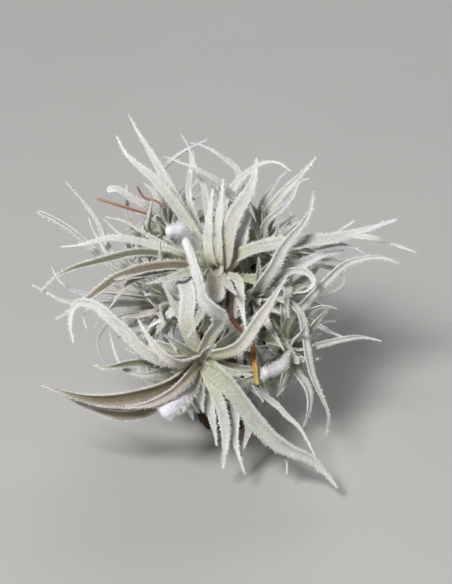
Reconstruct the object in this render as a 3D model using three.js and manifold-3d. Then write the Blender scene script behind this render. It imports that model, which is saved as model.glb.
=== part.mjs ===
// An air plant of the species Tillandsia chusgonensis, a clump of leafy rosettes on one short woody stem.
// Lengths are millimetres. The finished part stands on its foot, with +Z up and the front facing -Y.
// Leaf routes are written in the front view's own axes: u to the right, v up and w towards the eye.
import * as THREE from "three";
import Module from "manifold-3d";

const wasm = await Module();
wasm.setup();

// Driving dimensions.
const HEART_HEIGHT = 35;
const LEAN_DEGREES = 30;
const VIEW_DISTANCE = 500;
const CLEARANCE = 0.3;
const CORE_RADIUS = 3.4;
const CORE_STRETCH = 1.3;
const CORE_TOP = 0.45;
const CORE_TOP_SHARE = 0.55;
const CORE_LEAST_SHARE = 0.35;
const BLADE_TIP_SHARE = 0.25;
const BLUNT_TIP_SHARE = 0.72;
const BLADE_TAPER_POWER = 1.9;
const BLADE_THICKNESS_SHARE = 0.42;
const LEAST_THICKNESS = 0.62;
const MOST_THICKNESS = 1.3;
const EDGE_LIFT_SHARE = 0.1;
const EDGE_RISE = 0.1;
const KEEL_DEPTH = 0.6;
const MIDDLE_RISE = 0.4;
const ROUTE_POINTS = 10;
const RING_TOLERANCE = 0.44;
const LONGEST_STEP = 4;
const KEELED_WIDTH = 3.05;
const SLIVER = 0.03;
const FOOT_RADIUS = 7.5;
const FOOT_SINK = 3;
const FOOT_HEIGHT = 10;
const TRUNK_RADIUS = 3.2;
const BRANCH_RADIUS = 1.9;
const NECK_LENGTH = 2.5;
const NECK_RADIUS = 1.3;
const JOINT_OVERRUN = 1;
const SHORTEST_SHARE = 0.45;
const HEART_CENTRE = [-2, 2];
const HEART_REACH = [28, 30];
const GOLDEN_ANGLE = Math.PI * (3 - Math.sqrt(5));
const LENGTH_RANGE = [0.85, 1.15];
const CURL_RANGE = [0.4, 1.5];
const DRIFT_RANGE = [-22, 22];
const BREADTH_RANGE = [0.8, 1.1];
const ROOT_RANGE = [-0.9, 0.1];
const ROOT_OFFSET = 0.3;

// Settings of the rule that bends crossing leaves clear of each other.
const RELAX_ROUNDS = 9;
const RELAX_STEPS = 12;
const SAMPLES = 28;
const NEAR = 4;
const ROOT_SHARE = 0.3;
const SIDE_PUSH = 0.3;
const PUSH = 0.45;
const SAME_NODE_SHARE = 0.6;

// Rosettes. Each leaf lists its widest breadth, then the points of its route after the core.
const ROSETTES = [
  {
    name: "rosette_crown",
    at: [-2.2, 7, 6],
    axis: [-0.1, 0.35, 0.93],
    fills: [
      { count: 11, phase: 0.4, spread: [30, 66], length: [12, 23], width: 2.6, bend: 30 },
      { count: 8, phase: 0.35, spread: [80, 118], length: [18, 25], width: 2.6, bend: 20 },
    ],
    leaves: [
      [2.9, [-8, 17.2, 9], [-12.4, 23.8, 10], [-18.2, 30.8, 11], [-24.2, 35.8, 10.5], [-27.2, 41.2, 10]],
      [2.6, [-9.5, 20.5, 5], [-14.8, 30, 5], [-18, 35.8, 5], [-21.8, 42, 5], [-24.2, 46.5, 6]],
      [2.5, [-3.3, 9.5, 13], [-4.2, 15, 14], [-3.8, 21.2, 13.5], [-3, 28, 12.5]],
      [
        4.4,
        [-0.2, 10, 11.5],
        [0.8, 16.5, 12],
        [2.6, 21.5, 11.5],
        [5.4, 26, 10.5],
        [7.2, 30, 9],
        [7.9, 35.5, 7.5],
      ],
      [4.2, [1.6, 10, 9], [3.8, 15, 9], [6.4, 21.5, 8]],
      [2.2, [-0.8, 21.2, 3], [2.2, 28.2, 1], [8, 33.5, 0], [12.5, 34.5, 0], [16.5, 32.2, 1]],
      [2.0, [2.8, 23.8, -2], [4, 30.8, -3], [1.5, 34, -3], [-4.2, 38, -2], [-8.8, 39.5, -1]],
      [1.8, [-8.5, 24, 1], [-8.5, 32.8, 0], [-8.2, 36.5, 0], [-9.8, 39.2, 0], [-11, 41.5, 1]],
      [2.0, [-4.6, 24, 5], [-5.2, 28.5, 5], [-7.4, 33, 4], [-8, 37.5, 4]],
      [3.3, [-9.5, 15, 12], [-11.5, 17.4, 15.5], [-14.8, 17.2, 17.5]],
      [3.4, [-6, 4.6, 10], [-11, 4.2, 11], [-15, 5.4, 11.5], [-18.5, 7.2, 11]],
      [3.0, [-13.8, 8.2, 12], [-25.5, 5.8, 14], [-32.2, 1.8, 13], [-38.5, -2.5, 12], [-42.5, -5, 12]],
      [2.4, [-18.8, 11.8, 9], [-30.2, 10, 8], [-40.8, 6.8, 7], [-46.2, 2, 6]],
      [2.2, [-16.2, 13.2, 6], [-28.5, 15.5, 4], [-34.5, 14, 3], [-41.2, 13.2, 2]],
      [3.6, [5, 12, 10], [14.5, 14.2, 11], [26.2, 15.2, 10], [34, 17.2, 9], [43, 20.2, 8]],
      [4.2, [-2.2, 4.4, 13], [-1.8, -0.2, 18]],
      [2.8, [0.8, 3, 11], [2, -1, 12.5], [2.4, -4.6, 13.5]],
      [2.8, [-7, 3, 9], [-10.5, -0.8, 10], [-15, -3.4, 11], [-19.5, -6.8, 11]],
      [2.4, [3.2, 5, 13], [4, 0, 16], [5.2, -7.5, 18]],
      [2.4, [-1.6, 10, 13], [-1.8, 17, 13], [-1, 24, 12], [-0.4, 30.4, 11]],
      [3.4, [-1.2, 6.5, 10], [-0.9, 12, 9.5], [-0.6, 17, 8.5]],
      [3.8, [-4.6, 10, 9.5], [-6.4, 14.5, 9.5], [-9, 20, 9]],
      [1.8, [-7, 6.5, 9], [-16, 6.8, 10.5], [-23.5, 4.6, 12], [-26.5, 1.2, 13], [-30, -3.6, 13]],
    ],
  },
  {
    name: "rosette_front",
    at: [-5.5, -13.8, 14],
    axis: [-0.1, -0.35, 0.93],
    fills: [
      { count: 10, phase: 1.3, spread: [30, 66], length: [10, 20], width: 2.5, bend: 30 },
      { count: 7, phase: 1.1, spread: [75, 110], length: [14, 19], width: 2.4, bend: 20 },
    ],
    leaves: [
      [3.9, [-9.2, -6.2, 20], [-9, 0, 17.5], [-9.3, 7, 8]],
      [
        3.4,
        [-3.4, -8.4, 21],
        [-1.2, -5.2, 24],
        [-0.9, -3.4, 26.5],
        [-3.6, -1.8, 28],
        [-5.7, 1, 27.5],
        [-6, 4, 26],
        [-7, 7, 24.5],
        [-8.5, 12, 22.5],
        [-10.2, 15.6, 21],
      ],
      [3.5, [3.2, -11.8, 20], [7.5, -6.2, 20], [11.2, -0.8, 19], [15.5, 6.2, 18]],
      [
        5.0,
        [1, -21.2, 21],
        [5, -26.5, 21],
        [9.8, -32.5, 20],
        [15, -36.8, 19],
        [22, -40, 18],
        [28.2, -47, 17],
      ],
      [3.0, [-3.2, -21.2, 18], [-1, -26.5, 18], [0.2, -33.5, 17], [-0.5, -42.2, 15]],
      [2.4, [-3.8, -21, 14], [-3.6, -27, 13.5], [-2.6, -32.5, 13], [-2, -36.5, 12]],
      [1.3, [-5.5, -22, 9], [-5.6, -26, 9], [-3.4, -30, 9], [-2.6, -31.8, 9]],
      [2.4, [0, -20, 15], [2.6, -27, 15], [2.6, -35.2, 15], [5, -43.5, 15]],
      [2.5, [3, -24, 13], [6, -31.5, 13], [4.6, -36.5, 13], [3.8, -39.5, 12.5]],
      [1.8, [3.8, -23.8, 14], [11.2, -32.5, 14], [15, -38, 14.5], [15.5, -43.5, 14]],
      [4.3, [-12.8, -20.5, 22], [-19.8, -23, 22], [-28.5, -24.5, 21], [-37, -23.8, 20], [-45.8, -21, 20]],
      [3.8, [-9.2, -20.5, 17], [-16.2, -25, 16], [-22, -28.2, 16], [-31.5, -27.4, 16], [-40.8, -23.5, 15]],
      [4.4, [-8.8, -20.6, 17.5], [-12, -25, 20.5], [-15.6, -28.8, 21.5]],
      [3.0, [-9.8, -19.8, 22], [-14.4, -23.8, 23], [-20.4, -26.2, 22], [-26, -26.6, 20]],
      [2.9, [-12, -15.6, 25], [-16.4, -12.6, 26.5], [-19.4, -8.6, 26], [-21.8, -4.5, 25]],
      [2.4, [-13.2, -15.2, 15], [-22.2, -15.5, 13], [-29.8, -16.8, 12], [-33, -16.2, 11]],
      [
        3.2,
        [-17.5, -14.5, 21],
        [-26, -6.8, 21],
        [-32.8, -1, 20],
        [-36.4, -0.4, 19],
        [-38.8, -3.8, 19],
        [-37.8, -10.8, 18],
      ],
      [1.6, [-18.8, -18.5, 12], [-25, -17, 10], [-27.5, -12.8, 9], [-28.8, -7.2, 9]],
      [1.8, [3.8, -20, 13], [11.8, -25.2, 12], [14.8, -28.2, 12], [19, -32.2, 12.5], [22.6, -39.2, 13]],
    ],
  },
  {
    name: "rosette_upper_right",
    at: [9, 12.5, -2],
    axis: [0.35, 0.5, 0.75],
    fills: [
      { count: 4, phase: 1.2, spread: [5, 24], length: [6, 10], width: 2.1, bend: 16 },
      { count: 10, phase: 2.2, spread: [28, 66], length: [11, 21], width: 2.5, bend: 30 },
      { count: 6, phase: 0.6, spread: [75, 115], length: [13, 19], width: 2.4, bend: 20 },
    ],
    leaves: [
      [2.6, [9.5, 19.5, 2], [13.8, 26, 4], [18.8, 31.2, 5], [22.8, 35.8, 5]],
      [1.9, [8.8, 22.5, 3], [12.6, 29.3, 5], [15.8, 32.6, 5]],
      [1.8, [10, 19, 6], [13.8, 22.5, 8], [16.8, 25.8, 9], [18.5, 29.5, 9], [21, 30.5, 9]],
      [2.2, [8.6, 14.5, 2], [6.4, 20, 4], [2.4, 25.6, 6.5], [-2.5, 30, 9], [-8, 33, 10], [-15.5, 36, 10]],
      [2.4, [18.8, 13.2, 0], [28.8, 15.8, -1], [36, 15.5, 0], [41.5, 14, 1], [48, 11.8, 2]],
      [2.4, [19.5, 10.5, -5], [26, 10, -6], [31.2, 9.5, -6]],
      [1.5, [22, 12.8, -4], [28.5, 13.8, -4], [32.2, 13, -4], [35.2, 11.2, -4]],
      [1.6, [18, 15, -11], [25, 14.8, -14], [28.5, 17.2, -15], [32.5, 19.8, -15]],
      [1.5, [11.5, 16, -8], [14.2, 17.5, -12], [16.8, 20.4, -14]],
      [1.4, [16, 14.6, -7], [22.2, 15.2, -9], [24.4, 17, -10]],
      [1.5, [21.2, 9, -2], [29, 7, -2], [29.2, 3.6, -2], [27, 2.2, -2], [24.2, 1.8, -2]],
    ],
  },
  {
    name: "rosette_right",
    at: [7.5, 0, 2],
    axis: [0.3, -0.1, 0.9],
    fills: [
      { count: 4, phase: 2.9, spread: [5, 24], length: [6, 10], width: 2.2, bend: 16 },
      { count: 12, phase: 0.9, spread: [28, 68], length: [10, 20], width: 2.5, bend: 32 },
      { count: 6, phase: 2.4, spread: [75, 110], length: [14, 20], width: 2.4, bend: 20 },
    ],
    leaves: [
      [3.4, [9.2, 4.2, 12], [12, 8, 15], [15, 13.8, 16], [19.5, 19, 15], [21.5, 23.2, 14], [22, 27.2, 13]],
      [2.1, [14.5, 6.2, 10], [19.2, 7.4, 12], [22.2, 5.4, 13], [21.2, 2.6, 14], [17, 1.8, 14]],
      [1.4, [16.2, 0.4, -3], [24.2, 0.8, -5], [26.6, 1, -5]],
      [
        2.4,
        [13, 1, 9],
        [18.2, -1.5, 12],
        [19.6, -10, 13],
        [21.4, -18, 13],
        [25.8, -28.4, 11],
        [25.2, -34, 10],
      ],
      [2.3, [9.6, -4.2, 12], [11.8, -8.2, 13], [14.5, -12.8, 13]],
      [3.3, [6.2, -8.8, 9], [7.5, -15, 10], [9, -19.8, 11], [10.8, -24.5, 11]],
      [1.6, [3.6, -9, 11], [4, -15.5, 13], [6, -19.8, 13], [9.8, -25.5, 12]],
      [3.4, [12.6, 3.6, 8], [18, 8, 9.5], [24, 11.2, 8], [30, 12.4, 6]],
    ],
  },
  {
    name: "rosette_lower_right",
    at: [15, -12.5, 4],
    axis: [0.45, -0.35, 0.78],
    fills: [
      { count: 4, phase: 0.1, spread: [5, 24], length: [6, 10], width: 2.1, bend: 16 },
      { count: 10, phase: 3.1, spread: [28, 68], length: [10, 18], width: 2.4, bend: 32 },
      { count: 7, phase: 0.5, spread: [75, 115], length: [12, 17], width: 2.3, bend: 20 },
    ],
    leaves: [
      [2.6, [15, -6, 8], [19.5, -1.2, 9], [26.8, 6.2, 7], [31, 9.4, 6], [37.8, 10.8, 5], [43.5, 9.2, 4]],
      [2.0, [18.8, -4.5, 7], [23.2, -1.8, 8], [26, -1.5, 9], [28, -2.2, 9]],
      [1.5, [20, -7, 2], [24.2, -5.5, 0], [27.8, -5.2, -1]],
      [1.8, [22, -11.5, 9], [29, -9.8, 10], [34.2, -9.2, 9], [39.2, -10.2, 8]],
      [1.8, [19.5, -5, 5], [23.2, -6.2, 5], [26, -7.8, 4], [30.5, -9.5, 4]],
      [3.0, [14.8, -16, 13], [12.2, -17.4, 17], [9.2, -18.2, 20]],
      [2.7, [17.6, -17.8, 9], [20.8, -22.6, 9], [20.8, -28, 9], [19.4, -31.8, 9]],
      [2.1, [16, -18.8, 5], [14.8, -21.2, 5], [12.8, -24.2, 5]],
      [1.4, [20.2, -15, 9], [23.4, -14.5, 11]],
      [2.8, [10.8, -13.2, 11], [6.2, -11.4, 12]],
    ],
  },
  {
    name: "rosette_left",
    at: [-12.5, -1, -3],
    axis: [-0.85, 0, 0.5],
    fills: [
      { count: 4, phase: 0.6, spread: [5, 24], length: [6, 10], width: 2.1, bend: 16 },
      { count: 14, phase: 1.9, spread: [22, 62], length: [13, 21], width: 2.6, bend: 26 },
      { count: 9, phase: 0.9, spread: [75, 112], length: [12, 17], width: 2.4, bend: 20 },
    ],
    leaves: [
      [2.4, [-25, 8.5, 1], [-28.8, 12.8, 0], [-31.5, 19.2, -1], [-35.5, 24.8, -1], [-40, 29.8, -1]],
      [2.1, [-26, 6.5, -2], [-31.5, 11.4, -2], [-35.5, 15.2, -2], [-40.8, 19.2, -1], [-47, 22.2, 0]],
      [1.6, [-27, 9, -6], [-32.2, 16.2, -7], [-34.2, 20.8, -8]],
      [2.0, [-20.8, 8.5, 2], [-24.8, 14.8, 0], [-30.5, 20.5, -2]],
      [1.5, [-27, -4, 4], [-31, -8.5, 5], [-31.8, -12, 6], [-29.5, -16.2, 5]],
      [1.8, [-30, -0.8, 5], [-39, -0.5, 5], [-44.5, 2, 5], [-48.5, 4, 5]],
      [1.6, [-29, 1.5, 1], [-36.8, 2, 1], [-42, 5.6, 1], [-43.4, 8.8, 1]],
      [1.4, [-28, -0.5, -1], [-34, -2, -1], [-35.4, -4.8, -1], [-34.5, -7.2, -1]],
      [1.4, [-26, -1, -4], [-31, -4, -4.5], [-32.6, -7, -5]],
      [1.7, [-16.6, -1.6, 6], [-19.6, 1.6, 7.5], [-23.4, 6, 8.5]],
      [3.0, [-16, -3, 3], [-21, -4.2, 4], [-27, -4.6, 4]],
      [2.8, [-15, -5, 2], [-20, -7.4, 3], [-26, -8.4, 3]],
    ],
  },
  {
    name: "rosette_upper_left",
    at: [-15, 17, -10],
    axis: [-0.4, 0.65, 0.55],
    fills: [
      { count: 10, phase: 0.2, spread: [12, 66], length: [11, 18], width: 2.2, bend: 32 },
      { count: 7, phase: 1.4, spread: [75, 112], length: [12, 17], width: 2.2, bend: 20 },
    ],
    leaves: [
      [2.2, [-19.8, 23, -8], [-23.2, 25, -7], [-26.8, 27.5, -6], [-29.5, 27.2, -5]],
      [1.5, [-20.8, 16, -11], [-23.6, 20, -13], [-24.4, 24, -13], [-24.6, 28.8, -13]],
      [1.8, [-16.6, 23.5, -10], [-17.8, 27, -10], [-20.4, 29.2, -10]],
      [2.2, [-19, 17, -4], [-18.8, 21, -2], [-18.2, 25, -1]],
      [2.0, [-15.2, 17, -2], [-17.5, 20.5, 2]],
      [2.0, [-16.2, 30.5, -6], [-12.2, 35.8, -6], [-9.5, 37.5, -5], [-4.5, 40, -5]],
      [1.6, [-20.4, 17, -5], [-24.5, 19.2, -5], [-30.2, 20.8, -6]],
    ],
  },
  {
    name: "rosette_back",
    at: [0, 9, -17],
    axis: [0, 0.35, -0.93],
    fills: [
      { count: 24, phase: 0.7, spread: [12, 88], length: [15, 35], width: 2.7, bend: 34 },
    ],
    leaves: [],
  },
  {
    name: "rosette_back_right",
    at: [15, 1, -15],
    axis: [0.65, 0, -0.75],
    fills: [
      { count: 20, phase: 1.7, spread: [12, 88], length: [14, 32], width: 2.6, bend: 34 },
    ],
    leaves: [],
  },
  {
    name: "rosette_back_left",
    at: [-15, -1, -16],
    axis: [-0.65, -0.05, -0.75],
    fills: [
      { count: 20, phase: 2.9, spread: [12, 88], length: [14, 32], width: 2.6, bend: 34 },
    ],
    leaves: [],
  },
  {
    name: "rosette_low_left",
    at: [-9.5, -21.5, -4],
    axis: [-0.75, -0.2, 0.62],
    fills: [
      { count: 18, phase: 0.3, spread: [12, 96], length: [11, 20], width: 2.5, bend: 30 },
    ],
    leaves: [],
  },
  {
    name: "rosette_low_right",
    at: [9.5, -19.5, -12],
    axis: [0.8, -0.25, -0.2],
    fills: [
      { count: 17, phase: 2.3, spread: [12, 96], length: [11, 22], width: 2.5, bend: 30 },
    ],
    leaves: [],
  },
];

// Withered leaves, each a body of its own: breadth, colour and route.
const DRY_LEAVES = [
  {
    name: "dry_leaf_orange",
    width: 0.8,
    colour: 0xb4703a,
    route: [[-18, 21, -4], [-24.5, 23, -3], [-32.2, 25.4, -2]],
  },
  {
    name: "dry_leaf_pink",
    width: 0.8,
    colour: 0xb48c82,
    route: [[-14.5, 22.8, -3], [-17.4, 24.8, -2.5], [-20.2, 25.6, -2], [-22, 28.4, -1]],
  },
  {
    name: "dry_leaf_gold",
    width: 0.9,
    colour: 0xb08a3c,
    route: [[6.9, -11, 13], [7.2, -15, 14.5], [8, -21.2, 15]],
  },
  {
    name: "dry_leaf_brown",
    width: 0.9,
    colour: 0x8a5636,
    route: [[1, 2, 13], [1.2, -3.4, 14.5], [5, -8.8, 16]],
  },
];

// Stem: the foot and its forks, with the rosettes that each fork carries.
const TRUNK = [[0, -30.3, -17.5], [0.5, -21, -12.5], [0, -12, -6], [-1, 1, -4]];
const FORKS = [
  { from: 1, rosettes: ["rosette_low_left", "rosette_low_right"] },
  { from: 2, rosettes: ["rosette_front", "rosette_lower_right", "rosette_back_right", "rosette_back_left"] },
  {
    from: 3,
    rosettes: [
      "rosette_crown",
      "rosette_upper_right",
      "rosette_right",
      "rosette_left",
      "rosette_upper_left",
      "rosette_back",
    ],
  },
];
const SCALES = { count: 9, length: 6.5, width: 2.7, spread: 38 };

// Leaves with broad round ends, by their place in the rosette's list.
const BLUNT_TIPS = {
  rosette_crown: [9, 15, 16],
  rosette_front: [0, 1, 12],
  rosette_lower_right: [5],
  rosette_left: [1],
  rosette_upper_left: [0],
};

// Leaves of the rule that are left out because they would hide a heart or touch another rosette,
// by their place among those that the rule adds.
const LEFT_OUT = {
  rosette_crown: [0, 3, 5, 8, 10],
  rosette_front: [5, 8, 10],
  rosette_upper_right: [7, 10],
  rosette_right: [10, 15, 16],
  rosette_left: [18],
};

// How much higher the leaves begin where a heart stands open, in core radii.
const ROOT_LIFTS = {
  rosette_crown: 0.4,
  rosette_front: 0.6,
};

// Small vector helpers on plain arrays.
const add = (a, b, k = 1) => [a[0] + b[0] * k, a[1] + b[1] * k, a[2] + b[2] * k];
const scaled = (a, k) => [a[0] * k, a[1] * k, a[2] * k];
const dot = (a, b) => a[0] * b[0] + a[1] * b[1] + a[2] * b[2];
const cross = (a, b) => [a[1] * b[2] - a[2] * b[1], a[2] * b[0] - a[0] * b[2], a[0] * b[1] - a[1] * b[0]];
const unit = (a) => scaled(a, 1 / (Math.hypot(...a) || 1));
const mix = (a, b, t) => a + (b - a) * t;

// The direction nearest to a wish that stands square to a given line.
function squareTo(line, wish) {
  return unit(add(wish, line, -dot(line, wish)));
}

// A repeatable stream of draws between 0 and 1.
function drawsFrom(seed) {
  let state = seed >>> 0;
  return () => {
    state = (state + 0x6d2b79f5) >>> 0;
    let mixed = Math.imul(state ^ (state >>> 15), state | 1);
    mixed ^= mixed + Math.imul(mixed ^ (mixed >>> 7), mixed | 61);
    return ((mixed ^ (mixed >>> 14)) >>> 0) / 4294967296;
  };
}

// Front-view axes to the part's own axes.
const LEAN = (LEAN_DEGREES * Math.PI) / 180;
const LEAN_SIN = Math.sin(LEAN);
const LEAN_COS = Math.cos(LEAN);
const height = (p) => p[1] * LEAN_COS + p[2] * LEAN_SIN + HEART_HEIGHT;
const toPart = (p) => [p[0], p[1] * LEAN_SIN - p[2] * LEAN_COS, height(p)];

// A point seen at (u, v) from the eye, once its nearness is allowed for.
function seenAt([u, v, w]) {
  const nearness = 1 - w / VIEW_DISTANCE;
  return [u * nearness, v * nearness, w];
}

// A smooth curve through the points, resampled at even steps of its length.
function smoothRoute(points, count) {
  const fine = [];
  const last = points.length - 1;
  for (let i = 0; i < last; i++) {
    const before = points[Math.max(i - 1, 0)];
    const after = points[Math.min(i + 2, last)];
    const startPull = scaled(add(points[i + 1], before, -1), i === 0 ? 1 : 0.5);
    const endPull = scaled(add(after, points[i], -1), i === last - 1 ? 1 : 0.5);
    for (let s = 0; s < 8; s++) {
      const t = s / 8;
      const t2 = t * t;
      const t3 = t2 * t;
      let p = scaled(points[i], 2 * t3 - 3 * t2 + 1);
      p = add(p, startPull, t3 - 2 * t2 + t);
      p = add(p, points[i + 1], 3 * t2 - 2 * t3);
      p = add(p, endPull, t3 - t2);
      fine.push(p);
    }
  }
  fine.push(points[last]);
  return evenly(fine, count);
}

// The same polyline with its points at even steps.
function evenly(line, count) {
  const reach = [0];
  for (let i = 1; i < line.length; i++) {
    reach.push(reach[i - 1] + Math.hypot(...add(line[i], line[i - 1], -1)));
  }
  const total = reach[reach.length - 1];
  const out = [];
  let i = 0;
  for (let k = 0; k < count; k++) {
    const want = (total * k) / (count - 1);
    while (i < line.length - 2 && reach[i + 1] < want) i++;
    const t = (want - reach[i]) / (reach[i + 1] - reach[i] || 1);
    out.push(add(scaled(line[i], 1 - t), line[i + 1], t));
  }
  return out;
}

// How far out a point lies in the front view, where 1 is the rim of the clump's dense heart.
function farOut([u, v]) {
  return Math.hypot((u - HEART_CENTRE[0]) / HEART_REACH[0], (v - HEART_CENTRE[1]) / HEART_REACH[1]);
}

// The leaves that a rosette's rule adds round its axis, kept within the heart as seen from the front.
function filledLeaves(rosette, fill, draw) {
  const { count, phase, spread, length, width, bend } = fill;
  const axis = unit(rosette.axis);
  const east = squareTo(axis, [1, 0, 0]);
  const north = cross(axis, east);
  const leaves = [];
  for (let k = 0; k < count; k++) {
    const share = (k + 0.5) / count;
    const turn = phase + k * GOLDEN_ANGLE;
    const outward = add(scaled(east, Math.cos(turn)), north, Math.sin(turn));
    const sideways = cross(axis, outward);
    const reach = mix(...length, share) * mix(...LENGTH_RANGE, draw());
    const tilt = mix(...spread, share);
    const curl = bend * mix(...CURL_RANGE, draw());
    const drift = mix(...DRIFT_RANGE, draw());
    const steps = [];
    for (let s = 1; s <= 4; s++) {
      const lean = ((tilt + curl * (s / 4 - 0.25)) * Math.PI) / 180;
      const sway = (drift * (s / 4) * Math.PI) / 180;
      let step = scaled(axis, Math.cos(lean));
      step = add(step, outward, Math.sin(lean) * Math.cos(sway));
      step = add(step, sideways, Math.sin(lean) * Math.sin(sway));
      steps.push(scaled(step, (reach + CORE_RADIUS) / 4));
    }
    const tip = (size) => steps.reduce((p, step) => add(p, step, size), rosette.at);
    let size = 1;
    while (size > SHORTEST_SHARE && farOut(tip(size)) > 1) size -= 0.05;
    let p = rosette.at;
    const route = steps.map((step) => (p = add(p, step, size)));
    leaves.push([width * mix(...BREADTH_RANGE, share), ...route.slice(1)]);
  }
  return leaves;
}

const bladeWidth = (widest, tipShare, t) =>
  Math.max(widest * (1 - (1 - tipShare) * t ** BLADE_TAPER_POWER), LEAST_THICKNESS);
const bladeThickness = (width) =>
  Math.min(Math.max(width * BLADE_THICKNESS_SHARE, LEAST_THICKNESS), MOST_THICKNESS);

// All blades: node, widest breadth, route, the side that the channel faces, and the share fixed at the root.
function allBlades() {
  const blades = [];
  const draw = drawsFrom(7);
  for (const rosette of ROSETTES) {
    const axis = unit(rosette.axis);
    const drawn = rosette.leaves.map(([width, ...route]) => [width, ...route.map(seenAt)]);
    const filled = rosette.fills.flatMap((fill) => filledLeaves(rosette, fill, draw));
    const kept = filled.filter((_, place) => !LEFT_OUT[rosette.name]?.includes(place));
    const blunt = BLUNT_TIPS[rosette.name] ?? [];
    const lift = ROOT_LIFTS[rosette.name] ?? 0;
    for (const [place, [width, ...route]] of [...drawn, ...kept].entries()) {
      const away = unit(add(route[0], rosette.at, -1));
      const outward = squareTo(axis, add(route[route.length - 1], rosette.at, -1));
      const sunk = mix(...ROOT_RANGE, (dot(away, axis) + 1) / 2) + lift;
      const root = add(add(rosette.at, outward, ROOT_OFFSET * CORE_RADIUS), axis, sunk * CORE_RADIUS);
      const points = smoothRoute([root, ...route], ROUTE_POINTS);
      const tipShare = blunt.includes(place) ? BLUNT_TIP_SHARE : BLADE_TIP_SHARE;
      blades.push({ node: rosette.name, width, tipShare, points, axis, outward, dry: false });
    }
  }
  for (const { name, width, route } of DRY_LEAVES) {
    const points = smoothRoute(route.map(seenAt), ROUTE_POINTS);
    const lie = { axis: [0, 0, 1], outward: [0, -1, 0] };
    blades.push({ node: name, width, tipShare: BLUNT_TIP_SHARE, points, ...lie, dry: true });
  }
  return blades;
}

// Where a rosette's core begins, at the end of its branch.
const coreFoot = (rosette, gap) => add(rosette.at, unit(rosette.axis), -(CORE_RADIUS * CORE_STRETCH + gap));

// The stem's centre lines with their radii at both ends.
function stemLimbs() {
  const limbs = [];
  for (let i = 0; i < TRUNK.length - 1; i++) {
    limbs.push({ from: TRUNK[i], to: TRUNK[i + 1], thick: TRUNK_RADIUS, thin: TRUNK_RADIUS * 0.9 });
  }
  for (const { from, rosettes } of FORKS) {
    for (const name of rosettes) {
      const rosette = ROSETTES.find((r) => r.name === name);
      const neck = coreFoot(rosette, CLEARANCE + NECK_LENGTH);
      const to = coreFoot(rosette, CLEARANCE);
      limbs.push({ from: TRUNK[from], to: neck, thick: BRANCH_RADIUS * 1.2, thin: BRANCH_RADIUS });
      limbs.push({ from: neck, to, thick: BRANCH_RADIUS, thin: NECK_RADIUS });
    }
  }
  return limbs;
}

// Fixed bodies that the leaves keep clear of: the stem and each rosette's core.
function obstacles() {
  const list = [];
  for (const { from, to, thick, thin } of stemLimbs()) {
    for (let k = 0; k <= 8; k++) {
      const at = add(scaled(from, 1 - k / 8), to, k / 8);
      list.push({ node: "stem", at, radius: mix(thick, thin, k / 8) });
    }
  }
  list.push({ node: "stem", at: TRUNK[0], radius: FOOT_RADIUS });
  for (const rosette of ROSETTES) {
    list.push({ node: rosette.name, at: rosette.at, radius: CORE_RADIUS * 1.1 });
  }
  return list;
}

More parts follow.
